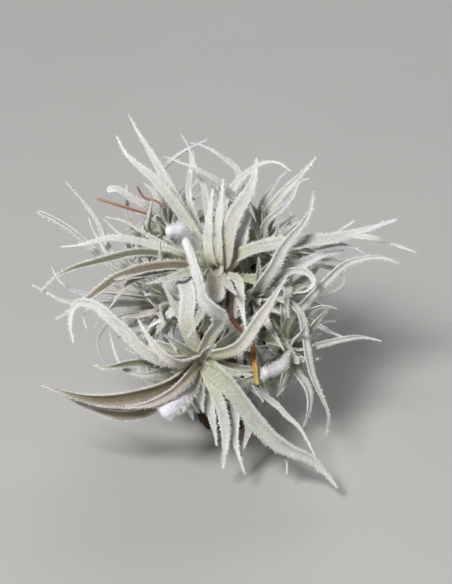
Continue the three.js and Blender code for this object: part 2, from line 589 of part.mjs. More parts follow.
// Bends the blades away from each other, mostly in depth, until bodies of different nodes stand clear.
function bendClear(blades) {
  const fixed = obstacles();
  const moving = blades.length * SAMPLES;
  const total = moving + fixed.length;
  const at = new Float64Array(total * 3);
  const radius = new Float64Array(total);
  const leaf = new Int32Array(total);
  const share = new Float64Array(total);
  const nodes = [...new Set(["stem", ...blades.map((b) => b.node)])];
  const nodeOf = new Int32Array(total);
  blades.forEach((blade, b) => {
    for (let s = 0; s < SAMPLES; s++) {
      const i = b * SAMPLES + s;
      share[i] = s / (SAMPLES - 1);
      radius[i] = 0.46 * bladeWidth(blade.width, blade.tipShare, share[i]) + 0.12;
      leaf[i] = b;
      nodeOf[i] = nodes.indexOf(blade.node);
      if (blade.dry) share[i] = 1;
    }
  });
  fixed.forEach((body, f) => {
    const i = moving + f;
    at.set(body.at, i * 3);
    radius[i] = body.radius;
    leaf[i] = -1 - f;
    share[i] = 1;
    nodeOf[i] = nodes.indexOf(body.node);
  });
  const need = (i, j) => {
    const sum = radius[i] + radius[j];
    return nodeOf[i] === nodeOf[j] ? sum * SAME_NODE_SHARE : sum + CLEARANCE;
  };
  const placeSamples = () => {
    blades.forEach((blade, b) => {
      for (let s = 0; s < SAMPLES; s++) {
        const along = (s / (SAMPLES - 1)) * (ROUTE_POINTS - 1);
        const k = Math.min(Math.floor(along), ROUTE_POINTS - 2);
        const t = along - k;
        const p = add(scaled(blade.points[k], 1 - t), blade.points[k + 1], t);
        at.set(p, (b * SAMPLES + s) * 3);
      }
    });
  };
  for (let round = 0; round < RELAX_ROUNDS; round++) {
    placeSamples();
    const pairs = [];
    for (let i = 0; i < moving; i++) {
      for (let j = i + 1; j < total; j++) {
        if (leaf[i] === leaf[j]) continue;
        const same = nodeOf[i] === nodeOf[j];
        if (same && (j >= moving || share[i] < ROOT_SHARE || share[j] < ROOT_SHARE)) continue;
        const reach = need(i, j) + NEAR;
        const dw = at[i * 3 + 2] - at[j * 3 + 2];
        if (Math.abs(dw) > reach) continue;
        const du = at[i * 3] - at[j * 3];
        const dv = at[i * 3 + 1] - at[j * 3 + 1];
        if (du * du + dv * dv + dw * dw < reach * reach) pairs.push([i, j]);
      }
    }
    for (let step = 0; step < RELAX_STEPS; step++) {
      const push = new Float64Array(total * 3);
      for (const [i, j] of pairs) {
        const du = at[i * 3] - at[j * 3];
        const dv = at[i * 3 + 1] - at[j * 3 + 1];
        const dw = at[i * 3 + 2] - at[j * 3 + 2];
        const short = need(i, j) - Math.hypot(du, dv, dw);
        if (short <= 0) continue;
        const depth = dw + (dw < 0 ? -0.4 : 0.4);
        const size = Math.hypot(SIDE_PUSH * du, SIDE_PUSH * dv, depth);
        const k = (short * PUSH) / size;
        const go = [SIDE_PUSH * du * k, SIDE_PUSH * dv * k, depth * k];
        for (let c = 0; c < 3; c++) {
          push[i * 3 + c] += go[c];
          push[j * 3 + c] -= go[c];
        }
      }
      for (let i = 0; i < moving; i++) {
        const low = radius[i] + CLEARANCE - height([0, at[i * 3 + 1], at[i * 3 + 2]]);
        if (low <= 0) continue;
        push[i * 3 + 1] += low * 0.4;
        push[i * 3 + 2] += low * 0.5;
      }
      blades.forEach((blade, b) => movePoints(blade, push, b * SAMPLES));
      placeSamples();
    }
  }
}

// Carries a blade's pushes to its route points, evened out along it, with the root held.
function movePoints(blade, push, first) {
  let moves = Array.from({ length: ROUTE_POINTS }, () => [0, 0, 0]);
  for (let s = 0; s < SAMPLES; s++) {
    const along = (s / (SAMPLES - 1)) * (ROUTE_POINTS - 1);
    const k = Math.min(Math.floor(along), ROUTE_POINTS - 2);
    const t = along - k;
    const go = push.subarray((first + s) * 3, (first + s) * 3 + 3);
    moves[k] = add(moves[k], go, 1 - t);
    moves[k + 1] = add(moves[k + 1], go, t);
  }
  for (let pass = 0; pass < 2; pass++) {
    moves = moves.map((m, k) => {
      const before = moves[Math.max(k - 1, 0)];
      const after = moves[Math.min(k + 1, ROUTE_POINTS - 1)];
      return add(add(scaled(m, 0.5), before, 0.25), after, 0.25);
    });
  }
  blade.points = blade.points.map((p, k) => {
    const hold = blade.dry ? 1 : Math.min(k / 2.5, 1);
    const move = scaled(moves[k], 0.5 * hold);
    const size = Math.hypot(...move);
    return add(p, move, size > 0.5 ? 0.5 / size : 1);
  });
}

// A closed solid from rings of points, each ring wound the same way round the line.
function solidFromRings(rings) {
  const sides = rings[0].length;
  const points = rings.flat().map(toPart);
  const triangles = [];
  for (let r = 0; r < rings.length - 1; r++) {
    for (let s = 0; s < sides; s++) {
      const a = r * sides + s;
      const b = r * sides + ((s + 1) % sides);
      triangles.push([a, b, b + sides], [a, b + sides, a + sides]);
    }
  }
  const top = (rings.length - 1) * sides;
  for (let s = 1; s < sides - 1; s++) {
    triangles.push([0, s + 1, s], [top, top + s, top + s + 1]);
  }
  const mesh = (turned) =>
    new wasm.Mesh({
      numProp: 3,
      vertProperties: new Float32Array(points.flat()),
      triVerts: new Uint32Array(triangles.flatMap(([a, b, c]) => (turned ? [a, c, b] : [a, b, c]))),
    });
  const solid = new wasm.Manifold(mesh(false));
  return solid.volume() > 0 ? solid : new wasm.Manifold(mesh(true));
}

// The line's direction at each of its points.
function headings(points) {
  const last = points.length - 1;
  return points.map((_, k) => unit(add(points[Math.min(k + 1, last)], points[Math.max(k - 1, 0)], -1)));
}

// The points that a blade needs for its bends: the rest lie close to the line between their neighbours.
function ringsNeeded(points) {
  const kept = [0];
  let from = 0;
  for (let k = 2; k < points.length; k++) {
    const chord = unit(add(points[k], points[from], -1));
    const strays = points.slice(from + 1, k).some((p) => {
      const off = add(p, points[from], -1);
      return Math.hypot(...add(off, chord, -dot(off, chord))) > RING_TOLERANCE;
    });
    if (strays || k - from > LONGEST_STEP) {
      from = k - 1;
      kept.push(from);
    }
  }
  return [...kept, points.length - 1];
}

// A blade: channelled above, keeled below, tapering to its tip.
function bladeSolid({ width, tipShare, points, axis, outward }) {
  const kept = ringsNeeded(points);
  const along = headings(points);
  const first = along[0];
  let face = add(scaled(axis, dot(first, outward)), outward, -dot(first, axis));
  const rings = [];
  points.forEach((p, k) => {
    face = squareTo(along[k], face);
    if (!kept.includes(k)) return;
    const side = cross(along[k], face);
    const t = k / (points.length - 1);
    const wide = bladeWidth(width, tipShare, t);
    const thick = bladeThickness(wide);
    const lift = EDGE_RISE * thick + EDGE_LIFT_SHARE * wide;
    const ring = [
      add(add(p, side, -wide / 2), face, lift),
      add(p, face, -KEEL_DEPTH * thick),
      add(add(p, side, wide / 2), face, lift),
    ];
    if (width >= KEELED_WIDTH) ring.push(add(p, face, MIDDLE_RISE * thick));
    rings.push(ring);
  });
  return solidFromRings(rings);
}

// A round limb between two points, closed by flat ends.
function limbSolid(from, to, radii, sides) {
  const along = unit(add(to, from, -1));
  const east = squareTo(along, Math.abs(along[0]) > 0.8 ? [0, 1, 0] : [1, 0, 0]);
  const north = cross(along, east);
  const rings = radii.map(([share, radius]) => {
    const centre = add(scaled(from, 1 - share), to, share);
    return Array.from({ length: sides }, (_, s) => {
      const turn = (2 * Math.PI * s) / sides;
      return add(add(centre, east, radius * Math.cos(turn)), north, radius * Math.sin(turn));
    });
  });
  return solidFromRings(rings);
}

// The small core from which a rosette's leaves grow.
function coreSolid(rosette) {
  const axis = unit(rosette.axis);
  const tall = CORE_RADIUS * CORE_STRETCH;
  const shape = [-1, -0.5, 0.1, CORE_TOP].map((h) => [
    (h + 1) / 2,
    CORE_RADIUS * Math.max(h < CORE_TOP ? Math.sqrt(1 - h * h) : CORE_TOP_SHARE, CORE_LEAST_SHARE),
  ]);
  return limbSolid(add(rosette.at, axis, -tall), add(rosette.at, axis, tall), shape, 6);
}

// The stem with its flat foot and the withered leaf bases that clothe it.
function stemSolid() {
  const pieces = stemLimbs().map(({ from, to, thick, thin }, i) => {
    const trunk = i < TRUNK.length - 1;
    const begun = trunk ? from : add(from, unit(add(from, to, -1)), JOINT_OVERRUN);
    return limbSolid(begun, to, [[0, thick], [trunk ? 1.08 : 1, thin]], trunk ? 7 : 5);
  });
  const up = [0, LEAN_COS, LEAN_SIN];
  const under = add(TRUNK[0], up, -FOOT_SINK);
  const flare = [[0, FOOT_RADIUS], [0.42, FOOT_RADIUS * 0.86], [1, TRUNK_RADIUS]];
  pieces.push(limbSolid(under, add(under, up, FOOT_HEIGHT), flare, 12));
  const draw = drawsFrom(19);
  for (let k = 0; k < SCALES.count; k++) {
    const share = mix(0.12, 0.98, (k + 0.5) / SCALES.count) * (TRUNK.length - 1);
    const i = Math.min(Math.floor(share), TRUNK.length - 2);
    const at = add(scaled(TRUNK[i], 1 - share + i), TRUNK[i + 1], share - i);
    const trunk = unit(add(TRUNK[i + 1], TRUNK[i], -1));
    const east = squareTo(trunk, [1, 0, 0]);
    const turn = k * GOLDEN_ANGLE;
    const outward = add(scaled(east, Math.cos(turn)), cross(trunk, east), Math.sin(turn));
    const lean = (SCALES.spread * mix(0.6, 1.2, draw()) * Math.PI) / 180;
    const way = add(scaled(trunk, Math.cos(lean)), outward, Math.sin(lean));
    const long = SCALES.length * mix(0.7, 1.1, draw());
    const start = add(at, outward, TRUNK_RADIUS * 0.55);
    const points = evenly([start, add(start, way, long)], ROUTE_POINTS);
    pieces.push(bladeSolid({ width: SCALES.width, tipShare: BLADE_TIP_SHARE, points, axis: trunk, outward }));
  }
  return wasm.Manifold.union(pieces).trimByPlane([0, 0, 1], 0).simplify(SLIVER);
}

// The one body that pieces make, without the specks that joining them leaves.
function oneBody(pieces) {
  const bodies = wasm.Manifold.union(pieces).simplify(SLIVER).decompose();
  return bodies.reduce((most, body) => (body.volume() > most.volume() ? body : most));
}

// A named mesh from a solid.
function meshOf(name, solid, colour, roughness) {
  const { numProp, vertProperties, triVerts } = solid.getMesh();
  const positions = [];
  for (let i = 0; i < vertProperties.length; i += numProp) {
    positions.push(vertProperties[i], vertProperties[i + 1], vertProperties[i + 2]);
  }
  const geometry = new THREE.BufferGeometry();
  geometry.setAttribute("position", new THREE.Float32BufferAttribute(positions, 3));
  geometry.setIndex([...triVerts]);
  const material = new THREE.MeshStandardMaterial({ color: colour, roughness, metalness: 0 });
  const mesh = new THREE.Mesh(geometry, material);
  mesh.name = name;
  return mesh;
}

const plant = new THREE.Group();
const blades = allBlades();
bendClear(blades);
for (const rosette of ROSETTES) {
  const leaves = blades.filter((blade) => blade.node === rosette.name).map(bladeSolid);
  plant.add(meshOf(rosette.name, oneBody([coreSolid(rosette), ...leaves]), 0xc9cfc2, 0.9));
}
for (const { name, colour } of DRY_LEAVES) {
  plant.add(meshOf(name, bladeSolid(blades.find((blade) => blade.node === name)), colour, 0.8));
}
plant.add(meshOf("stem", stemSolid(), 0x5d4634, 0.85));

export default plant;
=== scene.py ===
# An air plant, Tillandsia chusgonensis: silvery rosettes on one short woody stem, at rest on its foot.
# Lengths are millimetres until a mesh is made, and metres after that.
# Leaf routes are written in the front view's own axes: u to the right, v up and w towards the eye.
import math

import bpy
import numpy as np
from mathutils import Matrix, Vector


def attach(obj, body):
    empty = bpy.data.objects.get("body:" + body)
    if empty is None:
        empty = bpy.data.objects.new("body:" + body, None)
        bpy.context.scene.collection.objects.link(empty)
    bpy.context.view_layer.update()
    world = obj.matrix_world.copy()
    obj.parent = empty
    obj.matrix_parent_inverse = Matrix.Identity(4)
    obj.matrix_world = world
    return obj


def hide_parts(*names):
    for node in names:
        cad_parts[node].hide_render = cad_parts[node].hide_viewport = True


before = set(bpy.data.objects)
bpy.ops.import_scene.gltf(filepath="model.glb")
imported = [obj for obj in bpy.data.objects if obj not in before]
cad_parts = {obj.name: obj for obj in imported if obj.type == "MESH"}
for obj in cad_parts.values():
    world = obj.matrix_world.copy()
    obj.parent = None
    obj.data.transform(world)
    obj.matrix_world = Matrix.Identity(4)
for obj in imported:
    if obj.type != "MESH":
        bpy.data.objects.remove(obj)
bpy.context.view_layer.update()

# Driving dimensions of the plant, the same as the solids have.
HEART_HEIGHT = 35
LEAN = math.radians(30)
VIEW_DISTANCE = 500
CLEARANCE = 0.3
CORE_RADIUS = 3.4
CORE_STRETCH = 1.3
CORE_TOP = 0.45
CORE_TOP_SHARE = 0.55
ROOT_OFFSET = 0.3
ROOT_HEIGHTS = (-0.9, 0.1)
BLADE_TIP_SHARE = 0.25
BLUNT_TIP_SHARE = 0.72
BLADE_TAPER_POWER = 1.9
BLADE_THICKNESS_SHARE = 0.42
LEAST_THICKNESS = 0.62
MOST_THICKNESS = 1.3
ROUTE_POINTS = 10
CURVE_STEPS = 8
FOOT_RADIUS = 7.5
TRUNK_RADIUS = 3.2
TRUNK_TAPER = 0.9
BRANCH_RADIUS = 1.9
NECK_LENGTH = 2.5
NECK_RADIUS = 1.3

# The rule that fills a rosette with leaves, and the clump's dense heart, which they keep within.
RULE_SEED = 7
RULE_STEPS = 4
GOLDEN_ANGLE = math.pi * (3 - math.sqrt(5))
REACH_SHARES = (0.85, 1.15)
CURL_SHARES = (0.4, 1.5)
DRIFT_DEGREES = (-22, 22)
BREADTH_SHARES = (0.8, 1.1)
SHORTEST_SHARE = 0.45
SHORTENING = 0.05
HEART_CENTRE = (-2, 2)
HEART_REACH = (28, 30)

# The rule that bends crossing leaves clear of each other.
RELAX_ROUNDS = 9
RELAX_STEPS = 12
SAMPLES = 28
NEAR = 4
ROOT_SHARE = 0.3
SIDE_PUSH = 0.3
DEPTH_PUSH = 0.4
PUSH = 0.45
FLOOR_PUSH = (0, 0.4, 0.5)
SAME_NODE_SHARE = 0.6
GIRTH_SHARE = 0.46
GIRTH_MARGIN = 0.12
HELD_POINTS = 2.5
SMOOTHINGS = 2
EASE = 0.5
LONGEST_MOVE = 0.5
LIMB_STEPS = 8
FORK_FLARE = 1.2
CORE_GIRTH = 1.1

# Rosettes. A fill lists its count, phase, spread and length from inner to outer, breadth and bend,
# and left_out names leaves of the fills by number. root_lift raises the roots where a heart stands open.
# Each drawn leaf lists its widest breadth, its look, then the points of its route after the core.
ROSETTES = [{
    "name": "rosette_crown", "at": (-2.2, 7, 6), "axis": (-0.1, 0.35, 0.93), "root_lift": 0.4,
    "fills": [(11, 0.4, (30, 66), (12, 23), 2.6, 30), (8, 0.35, (80, 118), (18, 25), 2.6, 20)],
    "left_out": [0, 3, 5, 8, 10],
    "leaves": [
        (2.9, "", (-8, 17.2, 9), (-12.4, 23.8, 10), (-18.2, 30.8, 11), (-24.2, 35.8, 10.5),
         (-27.2, 41.2, 10)),
        (2.6, "", (-9.5, 20.5, 5), (-14.8, 30, 5), (-18, 35.8, 5), (-21.8, 42, 5), (-24.2, 46.5, 6)),
        (2.5, "", (-3.3, 9.5, 13), (-4.2, 15, 14), (-3.8, 21.2, 13.5), (-3, 28, 12.5)),
        (4.4, "", (-0.2, 10, 11.5), (0.8, 16.5, 12), (2.6, 21.5, 11.5), (5.4, 26, 10.5), (7.2, 30, 9),
         (7.9, 35.5, 7.5)),
        (4.2, "", (1.6, 10, 9), (3.8, 15, 9), (6.4, 21.5, 8)),
        (2.2, "", (-0.8, 21.2, 3), (2.2, 28.2, 1), (8, 33.5, 0), (12.5, 34.5, 0), (16.5, 32.2, 1)),
        (2.0, "", (2.8, 23.8, -2), (4, 30.8, -3), (1.5, 34, -3), (-4.2, 38, -2), (-8.8, 39.5, -1)),
        (1.8, "", (-8.5, 24, 1), (-8.5, 32.8, 0), (-8.2, 36.5, 0), (-9.8, 39.2, 0), (-11, 41.5, 1)),
        (2.0, "", (-4.6, 24, 5), (-5.2, 28.5, 5), (-7.4, 33, 4), (-8, 37.5, 4)),
        (3.3, "lilac blunt woolly", (-9.5, 15, 12), (-11.5, 17.4, 15.5), (-14.8, 17.2, 17.5)),
        (3.4, "", (-6, 4.6, 10), (-11, 4.2, 11), (-15, 5.4, 11.5), (-18.5, 7.2, 11)),
        (3.0, "pink bare", (-13.8, 8.2, 12), (-25.5, 5.8, 14), (-32.2, 1.8, 13), (-38.5, -2.5, 12),
         (-42.5, -5, 12)),
        (2.4, "green bare", (-18.8, 11.8, 9), (-30.2, 10, 8), (-40.8, 6.8, 7), (-46.2, 2, 6)),
        (2.2, "", (-16.2, 13.2, 6), (-28.5, 15.5, 4), (-34.5, 14, 3), (-41.2, 13.2, 2)),
        (3.6, "", (5, 12, 10), (14.5, 14.2, 11), (26.2, 15.2, 10), (34, 17.2, 9), (43, 20.2, 8)),
        (4.2, "beige blunt", (-2.2, 4.4, 13), (-1.8, -0.2, 18)),
        (2.8, "pink blunt", (0.8, 3, 11), (2, -1, 12.5), (2.4, -4.6, 13.5)),
        (2.8, "", (-7, 3, 9), (-10.5, -0.8, 10), (-15, -3.4, 11), (-19.5, -6.8, 11)),
        (2.4, "", (3.2, 5, 13), (4, 0, 16), (5.2, -7.5, 18)),
        (2.4, "", (-1.6, 10, 13), (-1.8, 17, 13), (-1, 24, 12), (-0.4, 30.4, 11)),
        (3.4, "", (-1.2, 6.5, 10), (-0.9, 12, 9.5), (-0.6, 17, 8.5)),
        (3.8, "green", (-4.6, 10, 9.5), (-6.4, 14.5, 9.5), (-9, 20, 9)),
        (1.8, "pink", (-7, 6.5, 9), (-16, 6.8, 10.5), (-23.5, 4.6, 12), (-26.5, 1.2, 13), (-30, -3.6, 13)),
    ],
}, {
    "name": "rosette_front", "at": (-5.5, -13.8, 14), "axis": (-0.1, -0.35, 0.93), "root_lift": 0.6,
    "fills": [(10, 1.3, (30, 66), (10, 20), 2.5, 30), (7, 1.1, (75, 110), (14, 19), 2.4, 20)],
    "left_out": [5, 8, 10],
    "leaves": [
        (3.9, "blunt", (-9.2, -6.2, 20), (-9, 0, 17.5), (-9.3, 7, 8)),
        (3.4, "blunt knuckled", (-3.4, -8.4, 21), (-1.2, -5.2, 24), (-0.9, -3.4, 26.5), (-3.6, -1.8, 28),
         (-5.7, 1, 27.5), (-6, 4, 26), (-7, 7, 24.5), (-8.5, 12, 22.5), (-10.2, 15.6, 21)),
        (3.5, "rosy", (3.2, -11.8, 20), (7.5, -6.2, 20), (11.2, -0.8, 19), (15.5, 6.2, 18)),
        (5.0, "mint", (1, -21.2, 21), (5, -26.5, 21), (9.8, -32.5, 20), (15, -36.8, 19), (22, -40, 18),
         (28.2, -47, 17)),
        (3.0, "", (-3.2, -21.2, 18), (-1, -26.5, 18), (0.2, -33.5, 17), (-0.5, -42.2, 15)),
        (2.4, "", (-3.8, -21, 14), (-3.6, -27, 13.5), (-2.6, -32.5, 13), (-2, -36.5, 12)),
        (1.3, "", (-5.5, -22, 9), (-5.6, -26, 9), (-3.4, -30, 9), (-2.6, -31.8, 9)),
        (2.4, "", (0, -20, 15), (2.6, -27, 15), (2.6, -35.2, 15), (5, -43.5, 15)),
        (2.5, "pink", (3, -24, 13), (6, -31.5, 13), (4.6, -36.5, 13), (3.8, -39.5, 12.5)),
        (1.8, "", (3.8, -23.8, 14), (11.2, -32.5, 14), (15, -38, 14.5), (15.5, -43.5, 14)),
        (4.3, "olive bare", (-12.8, -20.5, 22), (-19.8, -23, 22), (-28.5, -24.5, 21), (-37, -23.8, 20),
         (-45.8, -21, 20)),
        (3.8, "pink bare", (-9.2, -20.5, 17), (-16.2, -25, 16), (-22, -28.2, 16), (-31.5, -27.4, 16),
         (-40.8, -23.5, 15)),
        (4.4, "lilac blunt woolly", (-8.8, -20.6, 17.5), (-12, -25, 20.5), (-15.6, -28.8, 21.5)),
        (3.0, "pink", (-9.8, -19.8, 22), (-14.4, -23.8, 23), (-20.4, -26.2, 22), (-26, -26.6, 20)),
        (2.9, "rosy", (-12, -15.6, 25), (-16.4, -12.6, 26.5), (-19.4, -8.6, 26), (-21.8, -4.5, 25)),
        (2.4, "green bare", (-13.2, -15.2, 15), (-22.2, -15.5, 13), (-29.8, -16.8, 12), (-33, -16.2, 11)),
        (3.2, "", (-17.5, -14.5, 21), (-26, -6.8, 21), (-32.8, -1, 20), (-36.4, -0.4, 19),
         (-38.8, -3.8, 19), (-37.8, -10.8, 18)),
        (1.6, "", (-18.8, -18.5, 12), (-25, -17, 10), (-27.5, -12.8, 9), (-28.8, -7.2, 9)),
        (1.8, "rosy", (3.8, -20, 13), (11.8, -25.2, 12), (14.8, -28.2, 12), (19, -32.2, 12.5),
         (22.6, -39.2, 13)),
    ],
}, {
    "name": "rosette_upper_right", "at": (9, 12.5, -2), "axis": (0.35, 0.5, 0.75),
    "fills": [
        (4, 1.2, (5, 24), (6, 10), 2.1, 16),
        (10, 2.2, (28, 66), (11, 21), 2.5, 30),
        (6, 0.6, (75, 115), (13, 19), 2.4, 20),
    ],
    "left_out": [7, 10],
    "leaves": [
        (2.6, "", (9.5, 19.5, 2), (13.8, 26, 4), (18.8, 31.2, 5), (22.8, 35.8, 5)),
        (1.9, "", (8.8, 22.5, 3), (12.6, 29.3, 5), (15.8, 32.6, 5)),
        (1.8, "", (10, 19, 6), (13.8, 22.5, 8), (16.8, 25.8, 9), (18.5, 29.5, 9), (21, 30.5, 9)),
        (2.2, "", (8.6, 14.5, 2), (6.4, 20, 4), (2.4, 25.6, 6.5), (-2.5, 30, 9), (-8, 33, 10),
         (-15.5, 36, 10)),
        (2.4, "", (18.8, 13.2, 0), (28.8, 15.8, -1), (36, 15.5, 0), (41.5, 14, 1), (48, 11.8, 2)),
        (2.4, "green", (19.5, 10.5, -5), (26, 10, -6), (31.2, 9.5, -6)),
        (1.5, "", (22, 12.8, -4), (28.5, 13.8, -4), (32.2, 13, -4), (35.2, 11.2, -4)),
        (1.6, "", (18, 15, -11), (25, 14.8, -14), (28.5, 17.2, -15), (32.5, 19.8, -15)),
        (1.5, "", (11.5, 16, -8), (14.2, 17.5, -12), (16.8, 20.4, -14)),
        (1.4, "", (16, 14.6, -7), (22.2, 15.2, -9), (24.4, 17, -10)),
        (1.5, "", (21.2, 9, -2), (29, 7, -2), (29.2, 3.6, -2), (27, 2.2, -2), (24.2, 1.8, -2)),
    ],
}, {
    "name": "rosette_right", "at": (7.5, 0, 2), "axis": (0.3, -0.1, 0.9),
    "fills": [
        (4, 2.9, (5, 24), (6, 10), 2.2, 16),
        (12, 0.9, (28, 68), (10, 20), 2.5, 32),
        (6, 2.4, (75, 110), (14, 20), 2.4, 20),
    ],
    "left_out": [10, 15, 16],
    "leaves": [
        (3.4, "", (9.2, 4.2, 12), (12, 8, 15), (15, 13.8, 16), (19.5, 19, 15), (21.5, 23.2, 14),
         (22, 27.2, 13)),
        (2.1, "rosy", (14.5, 6.2, 10), (19.2, 7.4, 12), (22.2, 5.4, 13), (21.2, 2.6, 14), (17, 1.8, 14)),
        (1.4, "", (16.2, 0.4, -3), (24.2, 0.8, -5), (26.6, 1, -5)),
        (2.4, "", (13, 1, 9), (18.2, -1.5, 12), (19.6, -10, 13), (21.4, -18, 13), (25.8, -28.4, 11),
         (25.2, -34, 10)),
        (2.3, "rosy", (9.6, -4.2, 12), (11.8, -8.2, 13), (14.5, -12.8, 13)),
        (3.3, "green bare", (6.2, -8.8, 9), (7.5, -15, 10), (9, -19.8, 11), (10.8, -24.5, 11)),
        (1.6, "", (3.6, -9, 11), (4, -15.5, 13), (6, -19.8, 13), (9.8, -25.5, 12)),
        (3.4, "lilac", (12.6, 3.6, 8), (18, 8, 9.5), (24, 11.2, 8), (30, 12.4, 6)),
    ],
}, {
    "name": "rosette_lower_right", "at": (15, -12.5, 4), "axis": (0.45, -0.35, 0.78),
    "fills": [
        (4, 0.1, (5, 24), (6, 10), 2.1, 16),
        (10, 3.1, (28, 68), (10, 18), 2.4, 32),
        (7, 0.5, (75, 115), (12, 17), 2.3, 20),
    ],
    "leaves": [
        (2.6, "", (15, -6, 8), (19.5, -1.2, 9), (26.8, 6.2, 7), (31, 9.4, 6), (37.8, 10.8, 5),
         (43.5, 9.2, 4)),
        (2.0, "", (18.8, -4.5, 7), (23.2, -1.8, 8), (26, -1.5, 9), (28, -2.2, 9)),
        (1.5, "", (20, -7, 2), (24.2, -5.5, 0), (27.8, -5.2, -1)),
        (1.8, "", (22, -11.5, 9), (29, -9.8, 10), (34.2, -9.2, 9), (39.2, -10.2, 8)),
        (1.8, "", (19.5, -5, 5), (23.2, -6.2, 5), (26, -7.8, 4), (30.5, -9.5, 4)),
        (3.0, "lilac blunt woolly", (14.8, -16, 13), (12.2, -17.4, 17), (9.2, -18.2, 20)),
        (2.7, "", (17.6, -17.8, 9), (20.8, -22.6, 9), (20.8, -28, 9), (19.4, -31.8, 9)),
        (2.1, "", (16, -18.8, 5), (14.8, -21.2, 5), (12.8, -24.2, 5)),
        (1.4, "", (20.2, -15, 9), (23.4, -14.5, 11)),
        (2.8, "", (10.8, -13.2, 11), (6.2, -11.4, 12)),
    ],
}, {
    "name": "rosette_left", "at": (-12.5, -1, -3), "axis": (-0.85, 0, 0.5),
    "fills": [
        (4, 0.6, (5, 24), (6, 10), 2.1, 16),
        (14, 1.9, (22, 62), (13, 21), 2.6, 26),
        (9, 0.9, (75, 112), (12, 17), 2.4, 20),
    ],
    "left_out": [18],
    "leaves": [
        (2.4, "", (-25, 8.5, 1), (-28.8, 12.8, 0), (-31.5, 19.2, -1), (-35.5, 24.8, -1), (-40, 29.8, -1)),
        (2.1, "blunt", (-26, 6.5, -2), (-31.5, 11.4, -2), (-35.5, 15.2, -2), (-40.8, 19.2, -1),
         (-47, 22.2, 0)),
        (1.6, "", (-27, 9, -6), (-32.2, 16.2, -7), (-34.2, 20.8, -8)),
        (2.0, "", (-20.8, 8.5, 2), (-24.8, 14.8, 0), (-30.5, 20.5, -2)),
        (1.5, "", (-27, -4, 4), (-31, -8.5, 5), (-31.8, -12, 6), (-29.5, -16.2, 5)),
        (1.8, "", (-30, -0.8, 5), (-39, -0.5, 5), (-44.5, 2, 5), (-48.5, 4, 5)),
        (1.6, "", (-29, 1.5, 1), (-36.8, 2, 1), (-42, 5.6, 1), (-43.4, 8.8, 1)),
        (1.4, "", (-28, -0.5, -1), (-34, -2, -1), (-35.4, -4.8, -1), (-34.5, -7.2, -1)),
        (1.4, "", (-26, -1, -4), (-31, -4, -4.5), (-32.6, -7, -5)),
        (1.7, "", (-16.6, -1.6, 6), (-19.6, 1.6, 7.5), (-23.4, 6, 8.5)),
        (3.0, "beige", (-16, -3, 3), (-21, -4.2, 4), (-27, -4.6, 4)),
        (2.8, "beige", (-15, -5, 2), (-20, -7.4, 3), (-26, -8.4, 3)),
    ],
}, {
    "name": "rosette_upper_left", "at": (-15, 17, -10), "axis": (-0.4, 0.65, 0.55),
    "fills": [(10, 0.2, (12, 66), (11, 18), 2.2, 32), (7, 1.4, (75, 112), (12, 17), 2.2, 20)],
    "leaves": [
        (2.2, "blunt", (-19.8, 23, -8), (-23.2, 25, -7), (-26.8, 27.5, -6), (-29.5, 27.2, -5)),
        (1.5, "pink", (-20.8, 16, -11), (-23.6, 20, -13), (-24.4, 24, -13), (-24.6, 28.8, -13)),
        (1.8, "", (-16.6, 23.5, -10), (-17.8, 27, -10), (-20.4, 29.2, -10)),
        (2.2, "green bare", (-19, 17, -4), (-18.8, 21, -2), (-18.2, 25, -1)),
        (2.0, "green bare", (-15.2, 17, -2), (-17.5, 20.5, 2)),
        (2.0, "", (-16.2, 30.5, -6), (-12.2, 35.8, -6), (-9.5, 37.5, -5), (-4.5, 40, -5)),
        (1.6, "", (-20.4, 17, -5), (-24.5, 19.2, -5), (-30.2, 20.8, -6)),
    ],
}, {
    "name": "rosette_back", "at": (0, 9, -17), "axis": (0, 0.35, -0.93),
    "fills": [(24, 0.7, (12, 88), (15, 35), 2.7, 34)],
}, {
    "name": "rosette_back_right", "at": (15, 1, -15), "axis": (0.65, 0, -0.75),
    "fills": [(20, 1.7, (12, 88), (14, 32), 2.6, 34)],
}, {
    "name": "rosette_back_left", "at": (-15, -1, -16), "axis": (-0.65, -0.05, -0.75),
    "fills": [(20, 2.9, (12, 88), (14, 32), 2.6, 34)],
}, {
    "name": "rosette_low_left", "at": (-9.5, -21.5, -4), "axis": (-0.75, -0.2, 0.62),
    "fills": [(18, 0.3, (12, 96), (11, 20), 2.5, 30)],
}, {
    "name": "rosette_low_right", "at": (9.5, -19.5, -12), "axis": (0.8, -0.25, -0.2),
    "fills": [(17, 2.3, (12, 96), (11, 22), 2.5, 30)],
}]

# Withered leaves: breadth, the factor that finishes it, colours from root to tip, and route.
DRY_LEAVES = [{
    "name": "dry_leaf_orange", "width": 0.8, "finish": 0.85,
    "colours": [(0.32, 0.13, 0.07), (0.46, 0.20, 0.10), (0.52, 0.33, 0.14)],
    "route": [(-18, 21, -4), (-24.5, 23, -3), (-32.2, 25.4, -2)],
}, {
    "name": "dry_leaf_pink", "width": 0.8, "finish": 0.8,
    "colours": [(0.46, 0.32, 0.25), (0.48, 0.25, 0.18), (0.34, 0.18, 0.14)],
    "route": [(-14.5, 22.8, -3), (-17.4, 24.8, -2.5), (-20.2, 25.6, -2), (-22, 28.4, -1)],
}, {
    "name": "dry_leaf_gold", "width": 0.9, "finish": 1.35,
    "colours": [(0.28, 0.10, 0.03), (0.60, 0.30, 0.06), (0.66, 0.52, 0.12)],
    "route": [(6.9, -11, 13), (7.2, -15, 14.5), (8, -21.2, 15)],
}, {
    "name": "dry_leaf_brown", "width": 0.9, "finish": 1.25,
    "colours": [(0.05, 0.02, 0.01), (0.11, 0.038, 0.018), (0.46, 0.18, 0.08)],
    "route": [(1, 2, 13), (1.2, -3.4, 14.5), (5, -8.8, 16)],
}]
DRY_STOPS = (0, 0.5, 1)

